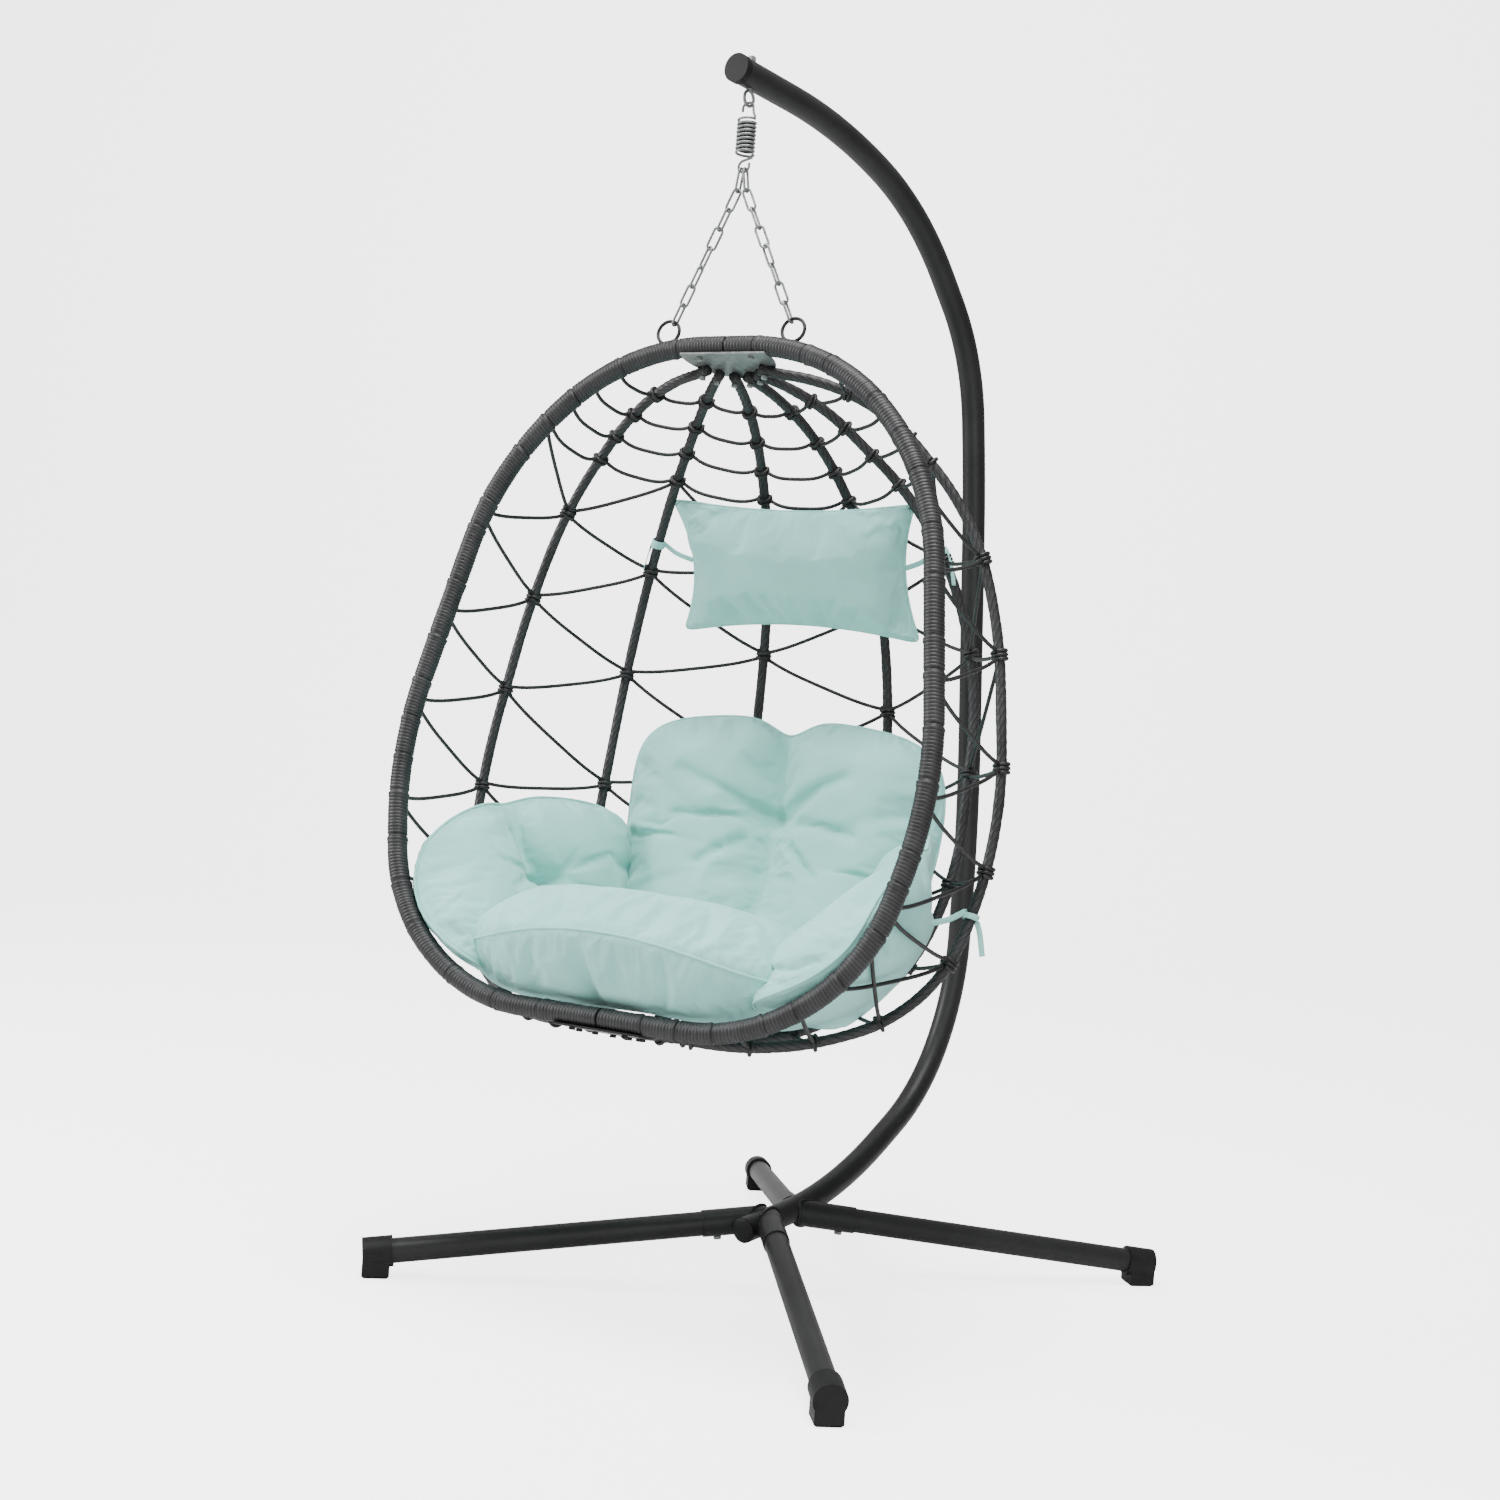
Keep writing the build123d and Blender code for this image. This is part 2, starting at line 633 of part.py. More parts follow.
for label, height in (("hub_plate_top", top_plate_top), ("hub_plate_bottom", bottom_plate_top)):
    with BuildPart() as plate:
        with BuildSketch(Plane.XY.offset(height - hub_thickness)):
            with Locations((0, hub_setback)):
                Circle(hub_radius)
            with Locations((0, -hub_front - hub_radius)):
                Rectangle(hub_radius * 3, hub_radius * 2, mode=Mode.SUBTRACT)
        extrude(amount=hub_thickness)
        for room in rim_rooms + rib_rooms + [rooms_for_bolts]:
            add(room, mode=Mode.SUBTRACT)
    save(plate, label, basket_place)

# ------------------------------------------------------------------ net
cord_radius = cord_diameter / 2


def point_at_height(path, height):
    """Point of a rim half or rib at a height, and the way the tube runs there."""
    share = level_share(path, height)
    return path @ share, path % share


def cord_end(point, run, towards, tube_radius, radius):
    """Where a cord that heads for a tube's centre line stops, just clear of the tube."""
    line = (towards - point).normalized()
    slant = min(abs(line.dot(run)), 0.9)
    return point + line * ((tube_radius + cord_gap + radius * slant) / (1 - slant**2) ** 0.5)


def make_cord(start, end, radius, sag):
    """Cord between two points that hangs down by a share of its length."""
    middle = (start + end) / 2 - Vector(0, 0, (end - start).length * sag)
    with BuildPart() as cord:
        with BuildLine() as line:
            ThreePointArc(start, middle, end)
        path = line.wires()[0]
        with BuildSketch(Plane(origin=path @ 0, z_dir=path % 0)):
            Circle(radius)
        sweep(path=path)
    return cord.part


columns = [
    (rim_paths[0], rim_radius, left_column),
    (rib_paths[0], rib_radius, left_side),
    (rib_paths[1], rib_radius, left_back),
    (rib_paths[2], rib_radius, middle_left),
    (rib_paths[3], rib_radius, middle_right),
    (rib_paths[4], rib_radius, right_back),
    (rib_paths[5], rib_radius, right_side),
    (rim_paths[1], rim_radius, right_column),
]
for panel in range(len(columns) - 1):
    sides = columns[panel:panel + 2]
    # each cord: which column it starts and ends on, and the two heights
    spans = [((0, height), (1, height)) for height in close_rows]
    knots = sorted(((z, side) for side in (0, 1) for z in sides[side][2]), reverse=True)
    upper = (1 - knots[0][1], close_rows[-1])
    for height, side in knots:
        if side != upper[0]:
            spans.append(((upper[0], upper[1] - knot_spread / 2), (side, height + knot_spread / 2)))
        upper = (side, height)
    cords = []
    for (side_a, height_a), (side_b, height_b) in spans:
        path_a, radius_a, _ = sides[side_a]
        path_b, radius_b, _ = sides[side_b]
        point_a, run_a = point_at_height(path_a, height_a)
        point_b, run_b = point_at_height(path_b, height_b)
        start = cord_end(point_a, run_a, point_b, radius_a, cord_radius)
        end = cord_end(point_b, run_b, point_a, radius_b, cord_radius)
        cords.append(make_cord(start, end, cord_radius, cord_sag))
    with BuildPart() as net:
        add(cords)
    save(net, "net_" + str(panel + 1), basket_place)

# ------------------------------------------------------------------ cushions


def make_pad(sections):
    """Cushion lofted through upright stacks of ellipses."""
    with BuildPart() as pad:
        for height, x, y, half_width, half_depth in sections:
            with BuildSketch(Plane((x, y, height))):
                Ellipse(half_width, half_depth)
        loft()
    return pad.part


with BuildPart() as seat_pad:
    add(make_pad(seat_sections))
save(seat_pad, "seat_pad", basket_place)

with BuildPart() as back_pad:
    add(make_pad(back_sections))
    add(make_pad(back_hollow_sections), mode=Mode.SUBTRACT)
save(back_pad, "back_pad", basket_place)

for side_name, side in (("left", -1), ("right", 1)):
    with BuildPart() as arm_pad:
        for y, x, height, half_width, half_height in arm_sections:
            with BuildSketch(Plane((side * x, y, height), (1, 0, 0), (0, -1, 0))):
                Ellipse(half_width, half_height)
        loft()
    save(arm_pad, "arm_pad_" + side_name, basket_place)

pillow_place = Location(pillow_centre, (pillow_lean, 0, 0))
with BuildPart() as pillow:
    for share, half_depth, half_height in pillow_sections:
        with BuildSketch(Plane((share * pillow_width / 2, 0, 0), (0, 1, 0), (1, 0, 0))):
            RectangleRounded(half_depth * 2, half_height * 2, half_depth * pillow_edge_share)
    loft()
save(pillow, "head_pillow", basket_place * pillow_place)

# ties run from the pillow's ends and the arm pads' sides to the ribs beside them
tie_radius = tie_diameter / 2
pillow_ties = []
arm_ties = []
for side, back_rib, side_rib in ((-1, rib_paths[1], rib_paths[0]), (1, rib_paths[4], rib_paths[5])):
    knot, run = point_at_height(back_rib, pillow_tie_height)
    start = Vector(side * (pillow_width / 2 + tie_gap), pillow_centre[1], pillow_centre[2])
    end = cord_end(knot, run, start, rib_radius, tie_radius)
    pillow_ties.append(make_cord(start, end, tie_radius, cord_sag))
    knot, run = point_at_height(side_rib, arm_tie_height)
    y, x, height, half_width, half_height = arm_sections[2]
    start = Vector(side * (x + half_width + tie_gap), y, height)
    end = cord_end(knot, run, start, rib_radius, tie_radius)
    arm_ties.append(make_cord(start, end, tie_radius, cord_sag))

for label, ties in (("pillow_ties", pillow_ties), ("cushion_ties", arm_ties)):
    with BuildPart() as group:
        add(ties)
    save(group, label, basket_place)
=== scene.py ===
# %% [markdown]
# # A hanging egg chair, dressed around its measured frame
#
# The chair's tubes, chains and bolts come ready measured as a fixed frame.
# This lesson gives that frame its finishes, and makes by formula what a plain solid can't show:
# wound strand, knotted cord, welds and stuffed cushions. We start by loading the frame.

import bpy
import numpy as np
from mathutils import Matrix, Vector


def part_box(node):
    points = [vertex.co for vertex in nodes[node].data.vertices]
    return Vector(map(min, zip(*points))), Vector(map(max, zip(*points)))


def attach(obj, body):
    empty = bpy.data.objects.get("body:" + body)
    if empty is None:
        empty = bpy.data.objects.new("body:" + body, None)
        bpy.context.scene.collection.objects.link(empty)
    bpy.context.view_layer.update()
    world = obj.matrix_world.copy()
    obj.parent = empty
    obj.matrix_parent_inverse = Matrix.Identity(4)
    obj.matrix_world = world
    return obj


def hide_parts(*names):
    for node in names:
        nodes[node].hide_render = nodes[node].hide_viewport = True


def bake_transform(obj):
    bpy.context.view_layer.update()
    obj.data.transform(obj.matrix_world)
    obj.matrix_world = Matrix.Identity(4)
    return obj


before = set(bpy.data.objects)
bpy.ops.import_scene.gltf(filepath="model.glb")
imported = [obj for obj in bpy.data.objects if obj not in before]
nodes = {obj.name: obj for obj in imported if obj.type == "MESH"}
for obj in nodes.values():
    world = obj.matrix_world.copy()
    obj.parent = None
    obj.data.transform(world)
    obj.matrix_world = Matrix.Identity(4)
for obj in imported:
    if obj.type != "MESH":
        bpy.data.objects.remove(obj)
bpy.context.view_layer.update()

# %% [markdown]
# ## The camera
#
# It stands at eye height for someone seated, to the chair's left, and looks slightly down. It could be aimed
# by a constraint, but a matrix built from three angles keeps its small roll in plain sight. Making it first
# lets every later step be judged from the right place.

# %% Make the camera
FLOOR_TO_CAMERA = 0.9542
CAMERA_DISTANCE = 3.4041
CAMERA_ANGLE = np.radians(34.5)
CAMERA_AIM = np.radians(1.85)
CAMERA_PITCH = np.radians(1.11)
CAMERA_ROLL = np.radians(4.38)
LENS = 48.91
SENSOR_WIDTH = 36.0
LEG_CROSS = 0.025       # the legs cross this far behind the origin

camera_data = bpy.data.cameras.new("camera")
camera_data.lens = LENS
camera_data.sensor_width = SENSOR_WIDTH
camera = bpy.data.objects.new("camera", camera_data)
bpy.context.scene.collection.objects.link(camera)
yaw = CAMERA_ANGLE + CAMERA_AIM
forward = Vector((-np.sin(yaw) * np.cos(CAMERA_PITCH), np.cos(yaw) * np.cos(CAMERA_PITCH),
                  -np.sin(CAMERA_PITCH)))
level_right = Vector((np.cos(yaw), np.sin(yaw), 0))
level_up = level_right.cross(forward)
right = level_right * np.cos(CAMERA_ROLL) + level_up * np.sin(CAMERA_ROLL)
upward = level_up * np.cos(CAMERA_ROLL) - level_right * np.sin(CAMERA_ROLL)
turn = Matrix((right, upward, -forward)).transposed().to_4x4()
place = Vector((CAMERA_DISTANCE * np.sin(CAMERA_ANGLE),
                LEG_CROSS - CAMERA_DISTANCE * np.cos(CAMERA_ANGLE), FLOOR_TO_CAMERA))
camera.matrix_world = Matrix.Translation(place) @ turn
bpy.context.scene.camera = camera
print("camera at", tuple(round(c, 3) for c in place))

# %% [markdown]
# ## Floor and light
#
# A pale sheet runs under the chair, bends up behind it and becomes the wall, so that no edge shows. A floor
# and a wall would be simpler, but they meet in a line behind the legs.

# %% Lay the sweep
SWEEP_HALF_WIDTH = 14.0
SWEEP_FRONT, SWEEP_BACK = -8.0, 5.0
SWEEP_BEND, SWEEP_TOP = 3.0, 12.0
PAPER_SHADE = 0.8
PAPER_GLOW = 3.2        # the paper looks brighter than the light it throws on the chair


def make_sweep():
    """Sheet whose cut is a level line, a quarter circle of the bend's radius and an upright line, drawn
    along the camera's level direction."""
    angles = np.linspace(0, np.pi / 2, 25)
    bend = SWEEP_BACK + SWEEP_BEND * np.sin(angles)
    out = np.concatenate(((SWEEP_FRONT,), bend, (SWEEP_BACK + SWEEP_BEND,)))
    height = np.concatenate(((0,), SWEEP_BEND * (1 - np.cos(angles)), (SWEEP_TOP,)))
    way = np.array((-np.sin(yaw), np.cos(yaw), 0))
    side = np.array((np.cos(yaw), np.sin(yaw), 0)) * SWEEP_HALF_WIDTH
    middle = out[:, None] * way + height[:, None] * np.array((0, 0, 1.0))
    points = np.concatenate((middle - side, middle + side))
    count = len(out)
    faces = [(k, k + count, k + count + 1, k + 1) for k in range(count - 1)]
    mesh = bpy.data.meshes.new("sweep")
    mesh.from_pydata(points.tolist(), [], faces)
    mesh.polygons.foreach_set("use_smooth", np.ones(len(faces), bool))
    sweep = bpy.data.objects.new("sweep", mesh)
    bpy.context.scene.collection.objects.link(sweep)
    paper = bpy.data.materials.new("white_paper")
    paper.use_nodes = True
    shader = paper.node_tree.nodes["Principled BSDF"]
    shader.inputs["Base Color"].default_value = (PAPER_SHADE, PAPER_SHADE, PAPER_SHADE, 1)
    shader.inputs["Roughness"].default_value = 0.9
    shader.inputs["Emission Color"].default_value = (1, 1, 1, 1)
    ray = paper.node_tree.nodes.new("ShaderNodeLightPath")
    glow = paper.node_tree.nodes.new("ShaderNodeMath")
    glow.operation = "MULTIPLY"
    glow.inputs[1].default_value = PAPER_GLOW
    paper.node_tree.links.new(ray.outputs["Is Camera Ray"], glow.inputs[0])
    paper.node_tree.links.new(glow.outputs[0], shader.inputs["Emission Strength"])
    mesh.materials.append(paper)
    return sweep


sweep = make_sweep()
print("sweep of", len(sweep.data.polygons), "faces")

# %% [markdown]
# Wide soft lamps show a dark frame and a pale cushion without harsh shadows. A picture of a studio wrapped
# round the scene would do as well, but four square lamps need no file and each can be reasoned about.

# %% Hang the lamps
LAMPS = (("overhead", (0.6, -1.2, 4.4), (0, -0.1, 0.9), 2.2, 300),
         ("key", (-3.2, -2.6, 2.6), (0, 0, 0.8), 1.6, 200),
         ("fill", (3.4, -2.6, 1.6), (0, 0, 0.8), 2.6, 60),
         ("wall", (-2.0, 2.0, 5.5), (-4.0, 6.0, 2.0), 4.0, 200))
WORLD_LIGHT = 0.3       # what the surroundings throw on the chair
WORLD_GLOW = 3.2        # how bright they look to the camera


def make_lamp(name, place, aim, size, power):
    """Square area lamp at a place, turned so that its -Z axis looks at the aim."""
    data = bpy.data.lights.new(name, "AREA")
    data.size = size
    data.energy = power
    lamp = bpy.data.objects.new(name, data)
    direction = Vector(aim) - Vector(place)
    lamp.matrix_world = Matrix.Translation(place) @ direction.to_track_quat("-Z", "Y").to_matrix().to_4x4()
    bpy.context.scene.collection.objects.link(lamp)
    return lamp


for lamp_numbers in LAMPS:
    make_lamp(*lamp_numbers)
world = bpy.data.worlds.new("studio")
world.use_nodes = True
tree = world.node_tree
background = tree.nodes["Background"]
background.inputs["Color"].default_value = (1, 1, 1, 1)
seen = tree.nodes.new("ShaderNodeLightPath")
strength = tree.nodes.new("ShaderNodeMapRange")
strength.inputs["To Min"].default_value = WORLD_LIGHT
strength.inputs["To Max"].default_value = WORLD_GLOW
tree.links.new(seen.outputs["Is Camera Ray"], strength.inputs["Value"])
tree.links.new(strength.outputs["Result"], background.inputs["Strength"])
bpy.context.scene.world = world
print("lamps", [numbers[0] for numbers in LAMPS])

# %% [markdown]
# ## Finishes
#
# Each finish is a Principled shader fed by a few noise textures. They could be drawn by hand in the shader
# editor, but a small helper keeps the wiring short: it adds a node, sets its values and links its inputs.

# %% A helper for materials


class Finish:
    """A node material under construction: add() makes a node, and a linked input is another socket."""

    def __init__(self, name):
        self.material = bpy.data.materials.new(name)
        self.material.use_nodes = True
        self.tree = self.material.node_tree
        self.shader = self.tree.nodes["Principled BSDF"]

    def add(self, kind, inputs=None, **settings):
        node = self.tree.nodes.new(kind)
        for key, value in settings.items():
            setattr(node, key, value)
        for key, value in (inputs or {}).items():
            self.feed(node.inputs[key], value)
        return node

    def feed(self, socket, value):
        if isinstance(value, bpy.types.NodeSocket):
            self.tree.links.new(value, socket)
        else:
            socket.default_value = value

    def set(self, **values):
        """Shader sockets by name, with underscores for spaces."""
        for key, value in values.items():
            self.feed(self.shader.inputs[key.replace("_", " ")], value)

    def place(self, scale, source="Object"):
        """Texture place: the piece's own coordinates, stretched by a scale."""
        where = self.add("ShaderNodeTexCoord")
        return self.add("ShaderNodeMapping", {"Vector": where.outputs[source],
                                              "Scale": scale}).outputs["Vector"]

    def noise(self, place, scale, detail=2.0, roughness=0.5):
        return self.add("ShaderNodeTexNoise", {"Vector": place, "Scale": scale, "Detail": detail,
                                               "Roughness": roughness}).outputs["Fac"]

    def ramp(self, value, stops):
        """Colour ramp through (position, colour) stops."""
        node = self.add("ShaderNodeValToRGB", {"Fac": value})
        while len(node.color_ramp.elements) < len(stops):
            node.color_ramp.elements.new(0.5)
        for element, (position, colour) in zip(node.color_ramp.elements, stops):
            element.position = position
            element.color = (*colour, 1) if len(colour) == 3 else colour
        return node.outputs["Color"]

    def times(self, colour, other):
        """Two colours multiplied."""
        node = self.add("ShaderNodeMix", data_type="RGBA", blend_type="MULTIPLY")
        self.feed(node.inputs[0], 1.0)
        self.feed(node.inputs[6], colour)
        self.feed(node.inputs[7], other)
        return node.outputs[2]

    def bump(self, height, strength, distance, below=None):
        """Normal bent by a height; below is the normal of a coarser bump under it."""
        inputs = {"Height": height, "Strength": strength, "Distance": distance}
        if below is not None:
            inputs["Normal"] = below
        return self.add("ShaderNodeBump", inputs).outputs["Normal"]


def grey(level):
    """Neutral colour, a touch blue."""
    return (level, level, level * 1.02)


print("mid grey", grey(0.5))

# %% [markdown]
# Powder coat is a thin plastic skin with a faint orange peel. Zinc plate is a soft grey metal with cloudy
# patches. Moulded plastic is darker and duller than both. One noise for the colour and a fine one for the
# bump tell them apart at any distance, which one flat colour can't do.

# %% Powder coat, zinc and moulded plastic


def make_powder_coat():
    finish = Finish("powder_coat")
    place = finish.place((1, 1, 1))
    cloud = finish.noise(place, 9.0)
    peel = finish.noise(place, 900.0, 1.0)
    finish.set(Base_Color=finish.ramp(cloud, [(0.3, grey(0.011)), (0.7, grey(0.017))]),
               Roughness=0.42, Specular_IOR_Level=0.25, Normal=finish.bump(peel, 0.12, 0.0004))
    return finish.material


def make_zinc():
    finish = Finish("zinc_plate")
    place = finish.place((1, 1, 1))
    cloud = finish.noise(place, 120.0, 3.0)
    finish.set(Base_Color=finish.ramp(cloud, [(0.3, (0.15, 0.16, 0.157)), (0.7, (0.25, 0.265, 0.26))]),
               Metallic=0.6, Roughness=finish.ramp(cloud, [(0.3, grey(0.36)), (0.7, grey(0.5))]),
               Normal=finish.bump(finish.noise(place, 1500.0), 0.1, 0.0002))
    return finish.material


def make_moulded_plastic():
    finish = Finish("moulded_plastic")
    place = finish.place((1, 1, 1))
    cloud = finish.noise(place, 30.0)
    grain = finish.noise(place, 1400.0, 2.0)
    finish.set(Base_Color=finish.ramp(cloud, [(0.3, grey(0.004)), (0.7, grey(0.007))]),
               Roughness=0.55, Specular_IOR_Level=0.22, Normal=finish.bump(grain, 0.25, 0.0003))
    return finish.material


powder_coat = make_powder_coat()
zinc_plate = make_zinc()
moulded_plastic = make_moulded_plastic()
print("finishes", [look.name for look in (powder_coat, zinc_plate, moulded_plastic)])

# %% [markdown]
# The frame's pieces are named for what they are, so the start of a name is enough to choose the finish.

# %% Finish the frame's pieces
PAINTED = ("pole_upper", "pole_lower", "leg_", "socket_", "ring_", "rim_tube", "rib_", "hub_plate_bottom")
ZINC = ("leg_bolts", "leg_nuts", "eyebolt", "spring_", "chain_", "hub_plate_top", "hub_bolts")
PLASTIC = ("foot_", "pole_top_cap", "pole_bottom_plug", "spring_core")
HALFWAY_UP = 1.0        # the hub bolts above this height are bare, those below are painted over

for starts, material in ((PAINTED, powder_coat), (ZINC, zinc_plate), (PLASTIC, moulded_plastic)):
    for name, piece in nodes.items():
        if name.startswith(starts):
            piece.data.materials.clear()
            piece.data.materials.append(material)
hub_bolts = nodes["hub_bolts"].data
hub_bolts.materials.append(powder_coat)
middles = np.empty(len(hub_bolts.polygons) * 3, np.float32)
hub_bolts.polygons.foreach_get("center", middles)
low = middles.reshape(-1, 3)[:, 2] < HALFWAY_UP
hub_bolts.polygons.foreach_set("material_index", low.astype(np.int32))
print("finished", len(nodes), "frame pieces")

# %% [markdown]
# ## Where things are on the chair
#
# The basket hangs turned and leaning. Its own measures are simple, so every basket piece is worked out
# in the basket's frame, with the middle between its two rings as zero, and then turned into place.

# %% The basket's frame
RING_AXIS = np.array((0.00049, -0.29519, 1.53437))
BASKET_TURN = np.radians(8.8)
BASKET_LEAN = np.radians(-12.4)
cos_t, sin_t = np.cos(BASKET_TURN), np.sin(BASKET_TURN)
cos_l, sin_l = np.cos(BASKET_LEAN), np.sin(BASKET_LEAN)
turn_matrix = np.array(((cos_t, -sin_t, 0), (sin_t, cos_t, 0), (0, 0, 1)))
lean_matrix = np.array(((1, 0, 0), (0, cos_l, -sin_l), (0, sin_l, cos_l)))
basket_matrix = turn_matrix @ lean_matrix
MM = 0.001


def in_place(points):
    """Places in the basket's own frame, turned by the basket's matrix and moved to the ring axis."""
    return points @ basket_matrix.T + RING_AXIS


print("basket turned", np.degrees(BASKET_TURN).round(1), "and leaning", np.degrees(BASKET_LEAN).round(1))

# %% [markdown]
# Tubes are carried along routes: straight runs joined by arcs, just as they are bent. We sample a route
# evenly, with its direction at each sample. A curve object could bend for us, but not with the bender's
# own radii.

# %% Routes of bent tubes
MID_SHARE = 0.49        # part of a run that the arc at each of its ends may use
END_SHARE = 0.931       # the same for the first and last run


def bent_route(corners, step):
    """Even samples of a path of straight runs joined by arcs: at each corner the arc's tangent length is the
    shorter of the two runs' usable parts, and its radius that length over the tangent of half the turn.
    Returns the places, the directions and the lengths along the route."""
    corners = np.array(corners, float)
    runs = np.diff(corners, axis=0)
    lengths = np.linalg.norm(runs, axis=1)
    ways = runs / lengths[:, None]
    usable = lengths * MID_SHARE
    usable[0] = lengths[0] * END_SHARE
    usable[-1] = lengths[-1] * END_SHARE
    reach = np.minimum(usable[:-1], usable[1:])
    pieces = [corners[:1]]
    for corner, way_in, way_out, tangent in zip(corners[1:-1], ways[:-1], ways[1:], reach):
        turn_angle = np.arccos(np.clip(way_in @ way_out, -1, 1))
        radius = tangent / np.tan(turn_angle / 2)
        inward = way_out - way_in * (way_in @ way_out)
        inward /= np.linalg.norm(inward)
        centre = corner - way_in * tangent + inward * radius
        angles = np.linspace(0, turn_angle, 60)[:, None]
        pieces.append(centre + radius * (np.sin(angles) * way_in - np.cos(angles) * inward))
    pieces.append(corners[-1:])
    dense = np.concatenate(pieces)
    along = np.concatenate(((0,), np.cumsum(np.linalg.norm(np.diff(dense, axis=0), axis=1))))
    samples = np.arange(0, along[-1], step)
    samples = samples * (along[-1] / samples[-1])
    route = np.stack([np.interp(samples, along, dense[:, k]) for k in range(3)], axis=1)
    ways = np.gradient(route, samples, axis=0)
    return route, ways / np.linalg.norm(ways, axis=1)[:, None], samples


trial_lengths = bent_route([(0, 0, 0), (100, 0, 0), (100, 100, 0)], 1.0)[2]
print("two 100 mm runs with a bend between them are", trial_lengths[-1].round(1), "mm long")

# %% [markdown]
# A wound tube is a circle carried along its route, with a radius that changes along and around it. First come
# the helpers that every carried shape needs: faces for a grid of points, and the mesh itself.

# %% Meshes from grids of points
CAP_HOLE = 0.01         # size that a tube's end ring is drawn in to


def grid_faces(rows, columns, closed):
    """Quads between neighbouring rows and columns of a grid; closed joins the last column to the first."""
    row = np.arange(rows - 1)[:, None]
    column = np.arange(columns if closed else columns - 1)[None, :]
    after = (column + 1) % columns
    corners = (row * columns + column, row * columns + after,
               (row + 1) * columns + after, (row + 1) * columns + column)
    return np.stack([c.ravel() for c in np.broadcast_arrays(*corners)], axis=1)


def tube_faces(rows, around, first=0):
    """Quads round a tube whose points start at a number, and one flat face at each of its ends."""
    quads = (grid_faces(rows, around, True) + first).tolist()
    start = list(range(first, first + around))
    end = list(range(first + (rows - 1) * around, first + rows * around))
    return quads + [start[::-1], end]


def build_mesh(name, points, faces, uv=None):
    """Mesh object from points and a list of faces, smooth shaded; uv holds one pair for each point."""
    mesh = bpy.data.meshes.new(name)
    mesh.from_pydata(points.tolist(), [], faces)
    mesh.polygons.foreach_set("use_smooth", np.ones(len(mesh.polygons), bool))
    if uv is not None:
        corner_points = np.empty(len(mesh.loops), np.int32)
        mesh.loops.foreach_get("vertex_index", corner_points)
        corner_uv = uv[corner_points].astype(np.float32)
        mesh.uv_layers.new(name="strand").data.foreach_set("uv", corner_uv.ravel())
    mesh.update()
    piece = bpy.data.objects.new(name, mesh)
    bpy.context.scene.collection.objects.link(piece)
    return piece


# %% [markdown]
# Then the circle. Carried rings beat a curve's own bevel here, because each point's radius can be set.

# %% Carry a circle along a route


def even_angles(count):
    """Angles once round a circle, without the last that would repeat the first."""
    return np.linspace(0, 2 * np.pi, count, endpoint=False)


def spokes(angles, across, above):
    """Directions cos a * across + sin a * above, one for each angle at each place."""
    cosines, sines = np.cos(angles)[:, None], np.sin(angles)[:, None]
    return cosines * across[..., None, :] + sines * above[..., None, :]


def carry_circle(route, ways, side, radius, angles):
    """Points route + radius * (cos a * across + sin a * side), one ring for each route sample;
    side is the normal of the route's plane and across completes the frame."""
    return route[:, None, :] + radius[:, :, None] * spokes(angles, np.cross(side, ways), side)


def close_ends(points):
    """Draws a tube's first and last rings in to their middles, so that it ends in a flat cap."""
    caps = []
    for ring in (points[:1], points[-1:]):
        middle = ring.mean(axis=1, keepdims=True)
        caps.append(middle + (ring - middle) * CAP_HOLE)
    return np.concatenate((caps[0], points, caps[1]))


UPRIGHT = np.array((0.0, 1.0, 0.0))     # normal of the rim's plane
print("spokes to the four quarters", spokes(even_angles(4), np.eye(3)[0], np.eye(3)[1]).round().tolist())

# %% [markdown]
# ## The wound rim
#
# A flat strand about 5 mm wide is wound close round the rim's tube. Each turn stands a little proud in
# its middle, so the radius follows a rounded saw tooth. A bump in the finish would be lighter, but the turns
# show on the outline. Real turns are never equal, so we first make a smooth wander to add to them.

# %% A smooth random wander
SEED = 7
random = np.random.default_rng(SEED)
print("random numbers from seed", SEED)


def wander(samples, spacing, size):
    """Smooth random wander: even random values, joined by a cosine ease between neighbours."""
    count = int(samples[-1] / spacing) + 3
    values = random.uniform(-size, size, count)
    at = samples / spacing
    low = np.floor(at).astype(int)
    ease = (1 - np.cos((at - low) * np.pi)) / 2
    return values[low] * (1 - ease) + values[low + 1] * ease


# %% [markdown]
# The winding itself is one function of the length along the rim and the angle round it. Where one length of
# strand ends and the next is tucked in, a narrow groove and a low swell mark the seam.

# %% Wind the rim
RIM_CORNERS = [(2, -26), (177, -26), (378, -226), (458, -698), (398, -946), (236, -1066), (2, -1066)]
RIM_RADIUS = 15.5
RIM_STEP = 0.8
STRAND_WIDTH = 5.2
STRAND_GROOVE = 1.15
STRAND_UNEVEN = 0.22    # how much one turn may stand above the next
SEAM_SWELL, SWELL_AT, SWELL_WIDTH = 1.0, 5.0, 4.5
SEAM_DEPTH, SEAM_WIDTH = 2.2, 1.6
SEAM_SPACING = (45, 105)
LAST_SEAM = 20          # no seam closer than this to the rim's end


